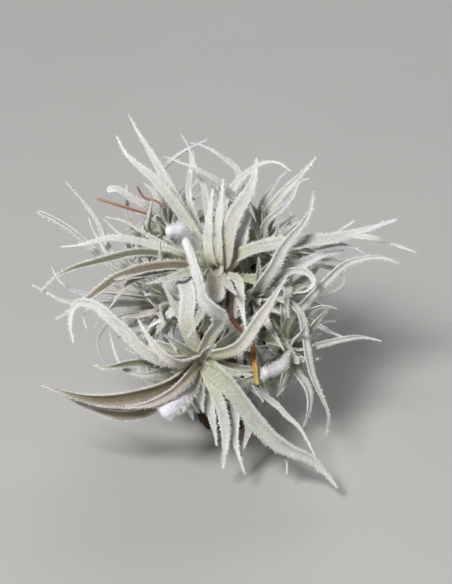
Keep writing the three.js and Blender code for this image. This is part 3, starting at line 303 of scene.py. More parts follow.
# Stem: the trunk from its foot, and its forks with the rosettes that each fork carries.
TRUNK = [(0, -30.3, -17.5), (0.5, -21, -12.5), (0, -12, -6), (-1, 1, -4)]
FORKS = [
    (1, ["rosette_low_left", "rosette_low_right"]),
    (2, ["rosette_front", "rosette_lower_right", "rosette_back_right", "rosette_back_left"]),
    (3, ["rosette_crown", "rosette_upper_right", "rosette_right"]),
    (3, ["rosette_left", "rosette_upper_left", "rosette_back"]),
]

# Colours of living leaves, linear: the bare base, the blade, its pale scales, its fur and a bare channel
# darkened with painted shade.
BASE_COLOUR = (0.62, 0.62, 0.45)
BLADE_COLOUR = (0.64, 0.655, 0.59)
SCALE_COLOUR = (0.875, 0.88, 0.885)
FUR_COLOUR = (0.95, 0.955, 0.965)
BARE_CHANNEL_SHADE_COLOUR = (0.19, 0.18, 0.12)
# The look of a leaf is in words: one of these tints, then blunt, woolly, knuckled or bare where it is so.
TINTS = {
    "rosy": (0.985, 0.94, 0.925),
    # pink, green and olive hold the leaves' own hues, darkened as well with painted shade for leaves that lie
    # in shadow.
    "pink": (0.82, 0.72, 0.66),
    "lilac": (1.03, 1.01, 1.06),
    "green": (0.66, 0.70, 0.58),
    "mint": (0.83, 0.885, 0.84),
    "olive": (0.80, 0.72, 0.58),
    "beige": (0.80, 0.74, 0.66),
    # Painted shade: leaves of the rule, set deep among and behind the drawn ones, are darkened to stand for
    # the shadow between leaves, more faintly in rosettes with no drawn leaves.
    "shade": (0.70, 0.73, 0.62),
    "dim": (0.86, 0.88, 0.81),
}
PLAIN_TINT = (1.0, 1.0, 1.0)
TONE_SPREAD = 0.03
HUE_SPREAD = 0.012
BASE_FADE_MM = (4, 15)
SCALES = 0.9
SCALES_FROM = (0.2, 0.8)
SCALES_WANDER = 0.05
SCALES_WAVES = 3
EDGE_SCALES = 0.2
EDGE_PALENESS = 0.6
# Bareness darkens the channel's inner corners, bare skin and painted shade together: strongest on bare
# leaves, fading out near the tip.
BARE_CHANNEL_SHADE = 0.28
BARE_LOOK_CHANNEL_SHADE = 0.9
BARE_SHADE_UNTIL = (0.7, 1)
WOOL_WHITENESS = 0.8

# Finish of the leaves: rings along a blade, its breadth from root to tip, its tip and its wavy edges.
RINGS = 26
TIP_CROWDING = 1.25
FINISHED_BREADTH = (0.93, 1.12)
FINISHED_FROM = (0.15, 0.65)
TIP_ROUNDING = 0.035
TIP_ROUNDEST = 0.995
TIP_SLIMMING = 0.6
TIP_SLIMMING_FROM = 0.62
WANDER_PACES = (0.6, 1.6)
EDGE_WAVES = 5
EDGE_WAVE_LIFT = 0.25
EDGE_WAVE_BREADTH = 0.07
# Each corner of a blade's section: across in half breadths, then its lift in thicknesses and in breadths.
SECTION = np.array([
    (-0.90, 0.26, 0.15), (-0.52, 0.16, 0.03), (0.0, 0.06, -0.01), (0.52, 0.16, 0.03), (0.90, 0.26, 0.15),
    (1.0, -0.02, 0.12), (0.70, -0.42, 0.04), (0.0, -0.64, 0.0), (-0.70, -0.42, 0.04), (-1.0, -0.02, 0.12),
])
SIDES = len(SECTION)
EDGE_FACES = (4, 9)
EDGE_CORNER = 0.9
CHANNEL_CORNER = 0.7
BACK_SHIFT = 0.35
LEAF_SHIFT = 7.3
CORE_SHIFT = 99
# A woolly end, and a knuckle where a leaf folds up.
WOOLLY_FROM = (0.3, 0.65)
WOOLLY_RISE = 1.2
KNUCKLE_AT = 0.41
KNUCKLE_REACH = 0.07
KNUCKLE_BULGE = 0.3
KNUCKLE_SLIMMING = 0.22
KNUCKLE_SLIMMING_REACH = 0.3
KNUCKLE_FOLD = 0.4

# Fur. A hair's way sums the face's normal, the way outward, the leaf's heading and a stray one.
FACE_HAIRS = {"density": 3.0, "length": (0.25, 0.5), "radius": 0.055, "whiteness": 0.75}
EDGE_HAIRS = {"density": 9, "length": (0.45, 0.85), "radius": 0.055, "whiteness": 0.85}
FACE_HAIR_WAY = (0.75, 0.5, 0.45, 0.35)
EDGE_HAIR_STRAY = 0.16
EDGE_HAIR_LEAN = 0.2
EDGE_HAIR_SWING = 0.7
FURRED_FROM = (0.04, 0.32)
TUFT_GAP = 0.6
TUFT_HEIGHT = (0.4, 1.3)
TUFT_SPREAD = 0.85
TUFT_PLACE = (0.3, 0.7)
TUFT_CLOSING = 1.6
TUFTS_PER_RING = 8
HAIR_SIDES = 3
HAIR_SINK = 0.06
HAIR_FLOOR = 0.02
WOOLLY_FUR = 1.7
BARE_FACE_FUR = 0.35
BARE_EDGE_FUR = 1.6
TIP_FUR = 0.5
TIP_FUR_FROM = (0.8, 1)
FULL_FUR_BREADTH = 3
LEAST_FUR = 0.6
FUR_TONE_SPREAD = 0.06

# Core, stem and foot. A ridge lists its height, its count round and its twist or its start.
CORE_SIDES = 24
CORE_RINGS = 14
CORE_LEAST_SHARE = 0.35
CORE_SHOULDER = 0.1
CORE_RIDGE = 0.08
CORE_RIDGES = 4
CORE_TWIST = 5
CORE_SIDEWAYS = 0.8
TUBE_SIDES = 20
TRUNK_RINGS = 44
BRANCH_RINGS = 30
BRANCH_SINK = 0.8
BRANCH_SHARES = (1.15, 0.95)
BARK_RIDGES = ((1, 3, 0.5), (0.7, 7, -0.3))
BARK_ROUGHNESS = 0.045
BARK_SWELL = 0.03
BARK_SWELL_PACE = 1.3
BARK_STARTS = (0, 6)
FOOT_SIDES = 48
FOOT_PROFILE = ((0, 0.88), (0.25, 0.93), (0.9, 0.88), (2, 0.74), (3.4, 0.60), (5, 0.50), (7, 0.42))
FOOT_RIDGES = ((0.6, 5, 0), (0.4, 11, 1), (0.25, 23, 2))
FOOT_ROUGHNESS = 0.05
WOOD_COLOUR = (0.115, 0.06, 0.032)

# Withered leaf bases on the stem.
SHEATHS_PER_MM = 1.5
SHEATH_SPAN = (0.1, 0.93)
SHEATH_LENGTH = (3.5, 7.0)
SHEATH_LEAN_DEGREES = (6, 30)
SHEATH_CURL = (-0.6, 1.1)
SHEATH_SINK = 0.75
SHEATH_EAST = (1, 0, 0.1)
SHEATH_WIDTH = 2.6
SHEATH_WIDTH_SHARES = (0.6, 1.1)
SHEATH_FULL_RADIUS = 2.2
SHEATH_WIDEST_SHARE = 1.2
SHEATH_RINGS = 7
SHEATH_COLOURS = ((0.14, 0.075, 0.04), (0.30, 0.20, 0.12), (0.42, 0.38, 0.30))
SHEATH_STOPS = (0, 0.6, 1)
LICHEN_COLOUR = (0.36, 0.33, 0.27)

# First seeds of the random streams, to which a rosette's or a tube's number is added.
RING_SEED, COLOUR_SEED, FUR_SEED, DRY_SEED = 100, 102, 200, 300
SHEATH_SEED, BARK_SEED, SHEATH_RING_SEED = 23, 31, 41

# Stage and view.
FLOOR_DARK = (0.46, 0.46, 0.455)
FLOOR_LIGHT = (0.48, 0.48, 0.475)
FLOOR_HALF = 5
FRAME_HEIGHT = 146
SENSOR = 36
CLIP = (0.01, 10)
AIM = (0.25, 2, 0)
LIGHTS = {
    "key": {"place": (-0.40, -0.60, 0.90), "size": 0.30, "power": 13.4, "colour": (1.0, 0.985, 0.965)},
    "fill": {"place": (0.8, -0.5, 0.5), "size": 0.7, "power": 1.1, "colour": (1.0, 0.995, 0.97)},
    "back": {"place": (0.2, 0.8, 0.7), "size": 0.5, "power": 3.5, "colour": (1.0, 1.0, 1.0)},
}
WORLD_COLOUR = (1.0, 0.995, 0.96, 1)
WORLD_STRENGTH = 0.045


def unit(v):
    """Vectors at length 1, along the last axis."""
    return v / np.maximum(np.linalg.norm(v, axis=-1, keepdims=True), 1e-9)


def dot(a, b):
    return (a * b).sum(-1, keepdims=True)


def square_to(line, wish):
    """The direction nearest to a wish that stands square to a given line."""
    return unit(wish - line * dot(wish, line))


def turned(a, b, angle):
    """The direction at an angle from a towards b."""
    return a * math.cos(angle) + b * math.sin(angle)


def mix(a, b, t):
    return a + (b - a) * t


def smooth_step(low, high, x):
    t = np.clip((x - low) / (high - low), 0, 1)
    return t * t * (3 - 2 * t)


def vector(*numbers):
    return np.array(numbers, float)


def draws_from(seed):
    """A repeatable stream of draws between 0 and 1, by the mulberry32 generator."""
    word = 0xFFFFFFFF
    state = seed

    def draw():
        nonlocal state
        state = (state + 0x6D2B79F5) & word
        mixed = ((state ^ (state >> 15)) * (state | 1)) & word
        mixed ^= (mixed + (mixed ^ (mixed >> 7)) * (mixed | 61)) & word
        return (mixed ^ (mixed >> 14)) / (word + 1)

    return draw


# Front-view axes to the part's own axes.
TO_PART = np.array([
    (1, 0, 0),
    (0, math.sin(LEAN), -math.cos(LEAN)),
    (0, math.cos(LEAN), math.sin(LEAN)),
])


def to_part(points):
    """Front-view millimetres to the part's millimetres."""
    return points @ TO_PART.T + (0, 0, HEART_HEIGHT)


def seen_at(point):
    """A point seen at (u, v) from the eye, once its nearness is allowed for."""
    nearness = 1 - point[2] / VIEW_DISTANCE
    return vector(point[0] * nearness, point[1] * nearness, point[2])


def lengths_along(lines):
    """Millimetres from its start at each point of each line."""
    steps = np.linalg.norm(np.diff(lines, axis=1), axis=2)
    return np.concatenate([np.zeros((len(lines), 1)), np.cumsum(steps, axis=1)], axis=1)


def between_stops(places, stops, rows):
    """Rows of three numbers, such as points or colours, interpolated between stops."""
    rows = np.array(rows)
    return np.stack([np.interp(places, stops, rows[:, c]) for c in range(3)], axis=1)


def smooth_route(points, count):
    """A smooth curve through the points, resampled at even steps of its length."""
    points = np.array(points, float)
    last = len(points) - 1
    t = np.arange(CURVE_STEPS)[:, None] / CURVE_STEPS
    pieces = []
    for i in range(last):
        before = points[max(i - 1, 0)]
        after = points[min(i + 2, last)]
        start_pull = (points[i + 1] - before) * (1 if i == 0 else 0.5)
        end_pull = (after - points[i]) * (1 if i == last - 1 else 0.5)
        piece = points[i] * (2 * t**3 - 3 * t**2 + 1) + start_pull * (t**3 - 2 * t**2 + t)
        piece = piece + points[i + 1] * (3 * t**2 - 2 * t**3) + end_pull * (t**3 - t**2)
        pieces.append(piece)
    line = np.concatenate([*pieces, points[last:]])
    reach = lengths_along(line[None])[0]
    return between_stops(np.linspace(0, reach[-1], count), reach, line)


def neighbours(lines):
    """What comes before and after each point of each line, where an end is its own neighbour."""
    before = np.concatenate([lines[:, :1], lines[:, :-1]], axis=1)
    after = np.concatenate([lines[:, 1:], lines[:, -1:]], axis=1)
    return before, after


def directions(lines):
    """The heading of each line at each of its points."""
    before, after = neighbours(lines)
    return unit(after - before)


def place_of(rosette):
    """A rosette's centre and the heading of its axis."""
    return vector(*rosette["at"]), unit(vector(*rosette["axis"]))


def far_out(p):
    """How far out a point lies in the front view, where 1 is the rim of the clump's dense heart."""
    across = (p[0] - HEART_CENTRE[0]) / HEART_REACH[0]
    up = (p[1] - HEART_CENTRE[1]) / HEART_REACH[1]
    return math.hypot(across, up)


def filled_leaves(rosette, fill, draw):
    """The leaves that a rosette's rule adds round its axis, kept within the heart as seen from the front."""
    count, phase, spread, length, width, bend = fill
    at, axis = place_of(rosette)
    east = square_to(axis, vector(1, 0, 0))
    north = np.cross(axis, east)
    leaves = []
    for k in range(count):
        share = (k + 0.5) / count
        outward = turned(east, north, phase + k * GOLDEN_ANGLE)
        sideways = np.cross(axis, outward)
        reach = mix(*length, share) * mix(*REACH_SHARES, draw())
        tilt = mix(*spread, share)
        curl = bend * mix(*CURL_SHARES, draw())
        drift = mix(*DRIFT_DEGREES, draw())
        steps = []
        for s in range(1, RULE_STEPS + 1):
            lean = math.radians(tilt + curl * (s - 1) / RULE_STEPS)
            aside = turned(outward, sideways, math.radians(drift * s / RULE_STEPS))
            steps.append(turned(axis, aside, lean) * (reach + CORE_RADIUS) / RULE_STEPS)
        size = 1.0
        while size > SHORTEST_SHARE and far_out(at + size * sum(steps)) > 1:
            size -= SHORTENING
        route = at + np.cumsum(steps, axis=0) * size
        leaves.append((width * mix(*BREADTH_SHARES, share), route[1:]))
    return leaves


def new_blade(node, width, route, axis, outward, look="", finish=1.0, dry=False):
    """A blade from its root, where its channel faces away from the outward direction, towards the axis."""
    look = look.split()
    return {
        "node": node,
        "width": width,
        "tip_share": BLUNT_TIP_SHARE if "blunt" in look else BLADE_TIP_SHARE,
        "points": smooth_route(route, ROUTE_POINTS),
        "axis": axis,
        "outward": outward,
        "look": look,
        "finish": finish,
        "dry": dry,
    }


def all_blades():
    """The drawn leaves, the leaves of the rule and the withered ones, not yet bent clear of each other."""
    blades = []
    draw = draws_from(RULE_SEED)
    for rosette in ROSETTES:
        at, axis = place_of(rosette)
        drawn = rosette.get("leaves", [])
        leaves = [(width, look, np.array([seen_at(p) for p in route])) for width, look, *route in drawn]
        filled = [leaf for fill in rosette["fills"] for leaf in filled_leaves(rosette, fill, draw)]
        for number, (width, route) in enumerate(filled):
            if number not in rosette.get("left_out", []):
                # Leaves of the rule take painted shade, fainter in rosettes with no drawn leaves.
                leaves.append((width, "shade" if drawn else "dim", route))
        for width, look, route in leaves:
            away = unit(route[0] - at)
            outward = square_to(axis, route[-1] - at)
            height = mix(*ROOT_HEIGHTS, (away @ axis + 1) / 2) + rosette.get("root_lift", 0)
            root = at + outward * ROOT_OFFSET * CORE_RADIUS + axis * height * CORE_RADIUS
            blades.append(new_blade(rosette["name"], width, [root, *route], axis, outward, look))
    up, front = vector(0, 0, 1), vector(0, -1, 0)
    for leaf in DRY_LEAVES:
        route = [seen_at(p) for p in leaf["route"]]
        blades.append(new_blade(leaf["name"], leaf["width"], route, up, front, "blunt", leaf["finish"], True))
    return blades


def each(blades, key):
    """One value of each blade, as a column."""
    return np.array([blade[key] for blade in blades])[:, None]


def looks(blades, word):
    """Which blades have a word in their look."""
    return np.array([word in blade["look"] for blade in blades])


def blade_width(widest, tip_share, t):
    return np.maximum(widest * (1 - (1 - tip_share) * t**BLADE_TAPER_POWER), LEAST_THICKNESS)


def core_foot(rosette, gap):
    """Where a rosette's core begins, at the end of its branch."""
    at, axis = place_of(rosette)
    return at - axis * (CORE_RADIUS * CORE_STRETCH + gap)


def branch_lines():
    """Each branch's fork, neck and end."""
    by_name = {rosette["name"]: rosette for rosette in ROSETTES}
    lines = []
    for fork, names in FORKS:
        for rosette in (by_name[name] for name in names):
            neck = core_foot(rosette, CLEARANCE + NECK_LENGTH)
            lines.append((vector(*TRUNK[fork]), neck, core_foot(rosette, CLEARANCE)))
    return lines


def obstacles():
    """Fixed bodies that the leaves keep clear of, the stem and each core: node, centre and radius."""
    thin_trunk = TRUNK_RADIUS * TRUNK_TAPER
    limbs = [(vector(*a), vector(*b), TRUNK_RADIUS, thin_trunk) for a, b in zip(TRUNK, TRUNK[1:])]
    for fork, neck, end in branch_lines():
        limbs.append((fork, neck, BRANCH_RADIUS * FORK_FLARE, BRANCH_RADIUS))
        limbs.append((neck, end, BRANCH_RADIUS, NECK_RADIUS))
    bodies = []
    for start, end, thick, thin in limbs:
        for k in range(LIMB_STEPS + 1):
            bodies.append(("stem", mix(start, end, k / LIMB_STEPS), mix(thick, thin, k / LIMB_STEPS)))
    bodies.append(("stem", vector(*TRUNK[0]), FOOT_RADIUS))
    for rosette in ROSETTES:
        bodies.append((rosette["name"], vector(*rosette["at"]), CORE_RADIUS * CORE_GIRTH))
    return bodies


def sample_weights():
    """The share of each route point in each sample along a blade."""
    along = np.arange(SAMPLES) / (SAMPLES - 1) * (ROUTE_POINTS - 1)
    knots = np.arange(ROUTE_POINTS)
    return np.stack([np.interp(along, knots, share) for share in np.eye(ROUTE_POINTS)], axis=1)


def near_pairs(at, radius, share, node_of, moving, leaves):
    """Sample pairs of different blades, or of a blade and a fixed body, that lie near enough to matter."""
    boxes = at[:moving].reshape(leaves, SAMPLES, 3)
    low, high = boxes.min(1), boxes.max(1)
    margin = 2 * radius.max() + CLEARANCE + NEAR
    apart = np.zeros((leaves, leaves), bool)
    for c in range(3):
        apart |= low[:, None, c] - margin > high[None, :, c]
    first, second = np.nonzero(~(apart | apart.T))
    ahead = first < second
    ours, theirs = np.meshgrid(np.arange(SAMPLES), np.arange(SAMPLES), indexing="ij")
    i = (first[ahead, None] * SAMPLES + ours.ravel()).ravel()
    j = (second[ahead, None] * SAMPLES + theirs.ravel()).ravel()
    fixed_i, fixed_j = np.meshgrid(np.arange(moving), np.arange(moving, len(at)), indexing="ij")
    i = np.concatenate([i, fixed_i.ravel()])
    j = np.concatenate([j, fixed_j.ravel()])
    same = node_of[i] == node_of[j]
    rooted = (share[i] < ROOT_SHARE) | (share[j] < ROOT_SHARE)
    wanted = ~(same & (rooted | (j >= moving)))
    i, j, same = i[wanted], j[wanted], same[wanted]
    total = radius[i] + radius[j]
    need = np.where(same, total * SAME_NODE_SHARE, total + CLEARANCE)
    near = ((at[i] - at[j]) ** 2).sum(1) < (need + NEAR) ** 2
    return i[near], j[near], need[near]


def pair_pushes(at, i, j, need):
    """What each sample is pushed by the pairs that are too close, mostly in depth."""
    gap = at[i] - at[j]
    short = need - np.linalg.norm(gap, axis=1)
    close = short > 0
    i, j, gap, short = i[close], j[close], gap[close], short[close]
    go = gap * (SIDE_PUSH, SIDE_PUSH, 1)
    go[:, 2] += np.where(gap[:, 2] < 0, -DEPTH_PUSH, DEPTH_PUSH)
    go *= (short * PUSH / np.linalg.norm(go, axis=1))[:, None]
    both = np.concatenate([i, j])
    pushed = np.concatenate([go, -go])
    return np.stack([np.bincount(both, pushed[:, c], len(at)) for c in range(3)], axis=1)


def bend_clear(blades):
    """Bends the blades away from each other until bodies of different nodes stand clear."""
    fixed = obstacles()
    leaves = len(blades)
    moving = leaves * SAMPLES
    nodes = ["stem"] + sorted({blade["node"] for blade in blades})
    t = np.linspace(0, 1, SAMPLES)
    girth = GIRTH_SHARE * blade_width(each(blades, "width"), each(blades, "tip_share"), t) + GIRTH_MARGIN
    dry = each(blades, "dry")
    radius = np.concatenate([girth.ravel(), [body[2] for body in fixed]])
    share = np.concatenate([np.where(dry, 1.0, t).ravel(), np.ones(len(fixed))])
    names = [blade["node"] for blade in blades for _ in t] + [body[0] for body in fixed]
    node_of = np.array([nodes.index(name) for name in names])
    centres = np.array([body[1] for body in fixed])
    points = np.array([blade["points"] for blade in blades])
    hold = np.where(dry, 1.0, np.minimum(np.arange(ROUTE_POINTS) / HELD_POINTS, 1))
    weights = sample_weights()

    def samples():
        return np.concatenate([(weights @ points).reshape(-1, 3), centres])

    for _ in range(RELAX_ROUNDS):
        at = samples()
        i, j, need = near_pairs(at, radius, share, node_of, moving, leaves)
        for _ in range(RELAX_STEPS):
            push = pair_pushes(at, i, j, need)[:moving]
            height = to_part(at[:moving])[:, 2]
            sunk = np.maximum(radius[:moving] + CLEARANCE - height, 0)
            push += sunk[:, None] * FLOOR_PUSH
            moves = weights.T @ push.reshape(leaves, SAMPLES, 3)
            for _ in range(SMOOTHINGS):
                before, after = neighbours(moves)
                moves = 0.5 * moves + 0.25 * before + 0.25 * after
            moves = moves * (EASE * hold)[:, :, None]
            size = np.linalg.norm(moves, axis=2, keepdims=True)
            points = points + moves * np.where(size > LONGEST_MOVE, LONGEST_MOVE / np.maximum(size, 1e-9), 1)
            at = samples()
    for blade, line in zip(blades, points):
        blade["points"] = line


def curve_weights(stations):
    """Weights that carry route points to stations from 0 to 1 along the smooth curve through them."""
    last = ROUTE_POINTS - 1
    knots = np.eye(ROUTE_POINTS)
    knots = np.stack([2 * knots[0] - knots[1], *knots, 2 * knots[last] - knots[last - 1]])
    k = np.minimum((stations * last).astype(int), last - 1)
    x = (stations * last - k)[:, None]
    shares = (
        -0.5 * x + x**2 - 0.5 * x**3,
        1 - 2.5 * x**2 + 1.5 * x**3,
        0.5 * x + 2 * x**2 - 1.5 * x**3,
        -0.5 * x**2 + 0.5 * x**3,
    )
    return sum(knots[k + ahead] * share for ahead, share in enumerate(shares))


def blade_frames(blades, stations):
    """Centre line, side and face of each blade at each station."""
    routes = np.array([blade["points"] for blade in blades])
    axis = np.array([blade["axis"] for blade in blades])
    outward = np.array([blade["outward"] for blade in blades])
    along = directions(routes)
    face = axis * dot(along[:, 0], outward) - outward * dot(along[:, 0], axis)
    faces = []
    for k in range(ROUTE_POINTS):
        face = square_to(along[:, k], face)
        faces.append(face)
    faces = np.stack(faces, axis=1)
    position = np.array(stations) * (ROUTE_POINTS - 1)
    k = np.minimum(position.astype(int), ROUTE_POINTS - 2)
    share = (position - k)[None, :, None]
    centre = curve_weights(stations) @ routes
    heading = directions(centre)
    face = square_to(heading, faces[:, k] * (1 - share) + faces[:, k + 1] * share)
    return centre, np.cross(heading, face), face


def tip_shape(stations, blunt):
    """How much a blade narrows beyond the solid's taper, so that its tip closes in a point or a round end."""
    slimming = np.where(blunt, 0.0, TIP_SLIMMING) * smooth_step(TIP_SLIMMING_FROM, 1, stations)
    near_end = np.clip((stations - 1) / TIP_ROUNDING + 1, 0, TIP_ROUNDEST)
    return (1 - slimming) * np.sqrt(1 - near_end**2)


def wander(count, stations, waves, seed):
    """A smooth run of small numbers along each of a number of blades, between about -1 and 1."""
    draws = np.random.default_rng(seed)
    phase = draws.uniform(0, 2 * math.pi, (count, 3, 1))
    pace = waves * draws.uniform(*WANDER_PACES, (count, 3, 1))
    return np.sin(phase + pace * stations * 2 * math.pi).mean(1)


def woolliness(blades, stations):
    """How much each ring of each blade belongs to a woolly end, from 0 to 1."""
    return looks(blades, "woolly")[:, None] * smooth_step(*WOOLLY_FROM, stations)


def blade_rings(blades, stations, seed):
    """The section's corners at each ring of each blade."""
    centre, side, face = blade_frames(blades, stations)
    tip_share = each(blades, "tip_share")
    wide = blade_width(each(blades, "width"), tip_share, stations) * each(blades, "finish")
    wide = wide * mix(*FINISHED_BREADTH, smooth_step(*FINISHED_FROM, stations))
    thick = np.clip(BLADE_THICKNESS_SHARE * wide, LEAST_THICKNESS, MOST_THICKNESS)
    closing = tip_shape(stations, tip_share == BLUNT_TIP_SHARE)
    wide = wide * closing
    thick = thick * closing
    past = stations - np.where(looks(blades, "knuckled"), KNUCKLE_AT, math.inf)[:, None]
    folded = np.exp(-((past / KNUCKLE_REACH) ** 2))
    slimming = KNUCKLE_SLIMMING * smooth_step(0, KNUCKLE_SLIMMING_REACH, past)
    wide = wide * (1 + KNUCKLE_BULGE * folded - slimming)
    folds = KNUCKLE_FOLD * folded * (-1.0) ** np.arange(len(stations))
    wave = wander(len(blades), stations, EDGE_WAVES, seed)[:, :, None]
    across = side[:, :, None] * (SECTION[:, 0] * wide[:, :, None] / 2)[..., None]
    plump = woolliness(blades, stations)[:, :, None]
    filled = WOOLLY_RISE * (SECTION[:, 1] > 0) * (1 - SECTION[:, 0] ** 2)
    lift = (SECTION[:, 1] + plump * filled) * thick[:, :, None]
    lift = lift + (1 - plump) * SECTION[:, 2] * wide[:, :, None]
    lift = lift * (1 + EDGE_WAVE_LIFT * wave * np.abs(SECTION[:, 0])) + folds[:, :, None]
    across = across * (1 + EDGE_WAVE_BREADTH * wave[..., None])
    return centre[:, :, None] + across + face[:, :, None] * lift[..., None]


def facing_out(points, face_groups):
    """The face groups, all turned round if they enclose a negative volume."""
    volume = 0.0
    for group in face_groups:
        a = points[group[:, 0]]
        for k in range(1, group.shape[1] - 1):
            b, c = points[group[:, k]], points[group[:, k + 1]]
            volume += (a * np.cross(b, c)).sum()
    return face_groups if volume > 0 else [group[:, ::-1] for group in face_groups]


def tubes(corners, place=to_part):
    """Points and outward face groups of closed tubes, from an array of tube, ring, corner and axis."""
    lines, rings, sides = corners.shape[:3]
    points = place(corners.reshape(-1, 3))
    tube, ring, corner = np.meshgrid(np.arange(lines), np.arange(rings - 1), np.arange(sides), indexing="ij")
    start = (tube * rings + ring) * sides
    a = start + corner
    b = start + (corner + 1) % sides
    quads = np.stack([a, b, b + sides, a + sides], axis=-1).reshape(-1, 4)
    first = np.arange(lines)[:, None] * rings * sides + np.arange(sides)
    last = first + (rings - 1) * sides
    return points, facing_out(points, [quads, np.concatenate([first[:, ::-1], last])])


def joined(solids):
    """The points and face groups of several solids as those of one."""
    groups = []
    start = 0
    for points, faces in solids:
        groups += [group + start for group in faces]
        start += len(points)
    return np.concatenate([points for points, _ in solids]), groups


def new_object(name, data):
    """An object in the scene that shows the given data."""
    shown = bpy.data.objects.new(name, data)
    bpy.context.scene.collection.objects.link(shown)
    return shown


def mesh_object(name, solid, tint, place=None, scurf=None, smooth=True):
    """An object from points in the part's millimetres and groups of faces of equal corner counts.

    Its vertices hold what the materials read: Tint, a linear colour, and where a leaf needs them Place,
    which is across, along and leaf number, and Scurf, how crusted with pale scales, from 0 to 1, lowest in
    bare channels darkened with painted shade.
    """
    points, face_groups = solid
    mesh = bpy.data.meshes.new(name)
    corners = np.concatenate([group.ravel() for group in face_groups]).astype(np.int32)
    counts = np.concatenate([np.full(len(group), group.shape[1]) for group in face_groups])
    starts = (np.cumsum(counts) - counts).astype(np.int32)
    mesh.vertices.add(len(points))
    mesh.vertices.foreach_set("co", (points / 1000).astype(np.float32).ravel())
    mesh.loops.add(len(corners))
    mesh.loops.foreach_set("vertex_index", corners)
    mesh.polygons.add(len(starts))
    mesh.polygons.foreach_set("loop_start", starts)
    mesh.polygons.foreach_set("use_smooth", np.full(len(starts), smooth))
    mesh.update(calc_edges=True)
    tint = np.concatenate([tint, np.ones((len(tint), 1))], axis=1)
    layers = (
        ("Tint", "FLOAT_COLOR", "color", tint),
        ("Place", "FLOAT_VECTOR", "vector", place),
        ("Scurf", "FLOAT", "value", scurf),
    )
    for layer_name, kind, key, values in layers:
        if values is not None:
            layer = mesh.attributes.new(layer_name, kind, "POINT")
            layer.data.foreach_set(key, values.astype(np.float32).ravel())
    return new_object(name, mesh)


def leaf_colours(blades, corners, stations, seed):
    """The colour of each corner of each ring of the living leaves, with painted shade in their channels, and
    how scurfy it is.
    """
    count = len(blades)
    draws = np.random.default_rng(seed)
    tint = [next((TINTS[word] for word in blade["look"] if word in TINTS), PLAIN_TINT) for blade in blades]
    tone = 1 + draws.normal(0, TONE_SPREAD, (count, 1))
    tint = np.array(tint) * tone * (1 + draws.normal(0, HUE_SPREAD, (count, 3)))
    t = stations + SCALES_WANDER * wander(count, stations, SCALES_WAVES, seed + 1)
    t = t[:, :, None, None]
    from_root = lengths_along(corners.mean(2))[:, :, None, None]
    colour = mix(vector(*BASE_COLOUR), BLADE_COLOUR, smooth_step(*BASE_FADE_MM, from_root))
    colour = mix(colour, SCALE_COLOUR, SCALES * smooth_step(*SCALES_FROM, t))
    edge = (np.abs(SECTION[:, 0]) > EDGE_CORNER)[:, None]
    inner = (np.abs(SECTION[:, 0]) < CHANNEL_CORNER)[:, None]
    colour = mix(colour, SCALE_COLOUR, EDGE_SCALES * edge)
    # The channel darkens towards the channel colour: partly bare skin, partly painted shade.
    bare_channel_shade = np.where(looks(blades, "bare"), BARE_LOOK_CHANNEL_SHADE, BARE_CHANNEL_SHADE)[:, None, None, None]
    bare_channel_shade = bare_channel_shade * (1 - smooth_step(*BARE_SHADE_UNTIL, t)) * inner
    colour = mix(colour, BARE_CHANNEL_SHADE_COLOUR, bare_channel_shade)
    colour = mix(colour, FUR_COLOUR, WOOL_WHITENESS * woolliness(blades, stations)[:, :, None, None])
    return colour * mix(tint[:, None, None, :], 1.0, EDGE_PALENESS * edge), 1 - bare_channel_shade


def leaf_places(corners):
    """Across, along in millimetres and leaf number for each corner of each ring."""
    shape = corners.shape[:3]
    across = np.broadcast_to(SECTION[:, 0] + BACK_SHIFT * (SECTION[:, 1] < 0), shape)
    along = np.broadcast_to(lengths_along(corners.mean(2))[:, :, None], shape)
    number = np.broadcast_to(np.arange(shape[0])[:, None, None] * LEAF_SHIFT, shape)
    return np.stack([across, along, number], axis=-1).reshape(-1, 3)


def turns(count):
    """Even turns round a circle."""
    return np.linspace(0, 2 * math.pi, count, endpoint=False)


def ring_at(centre, radii, axis, wish):
    """A ring of points of the given radii round a centre, square to an axis, and where the ring starts."""
    turn = turns(len(radii))
    east = square_to(axis, wish)
    round_it = np.outer(np.cos(turn), east) + np.outer(np.sin(turn), np.cross(axis, east))
    return centre + radii[:, None] * round_it, east


def core_rings(rosette):
    """The small core from which a rosette's leaves grow, ridged by the leaf bases that sheathe it."""
    at, axis = place_of(rosette)
    wish = vector(1, 0, 0) if abs(axis[0]) < CORE_SIDEWAYS else vector(0, 1, 0)
    turn = turns(CORE_SIDES)
    rings = []
    for h in np.linspace(-1, CORE_TOP, CORE_RINGS):
        radius = max(CORE_RADIUS * math.sqrt(1 - h * h), CORE_LEAST_SHARE * CORE_RADIUS)
        radius = mix(radius, CORE_TOP_SHARE * CORE_RADIUS, smooth_step(CORE_SHOULDER, CORE_TOP, h))
        radii = radius * (1 - CORE_RIDGE * np.abs(np.sin(CORE_RIDGES * turn + CORE_TWIST * h)))
        rings.append(ring_at(at + axis * h * CORE_RADIUS * CORE_STRETCH, radii, axis, wish)[0])
    return np.array([rings])


def rosette_leaves(rosette, corners, colours, scurf):
    """One rosette's living leaves with their core, as a piece that stands for its node."""
    leaves = tubes(corners)
    core = tubes(core_rings(rosette))
    bare = np.ones((len(core[0]), 1))
    tint = np.concatenate([colours.reshape(-1, 3), bare * BASE_COLOUR])
    place = np.concatenate([leaf_places(corners), bare * (0, 0, CORE_SHIFT)])
    scurf = np.concatenate([scurf.ravel(), bare.ravel()])
    piece = mesh_object(rosette["name"] + "_leaves", joined([leaves, core]), tint, place, scurf)
    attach(piece, "root")
    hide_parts(rosette["name"])
    return piece


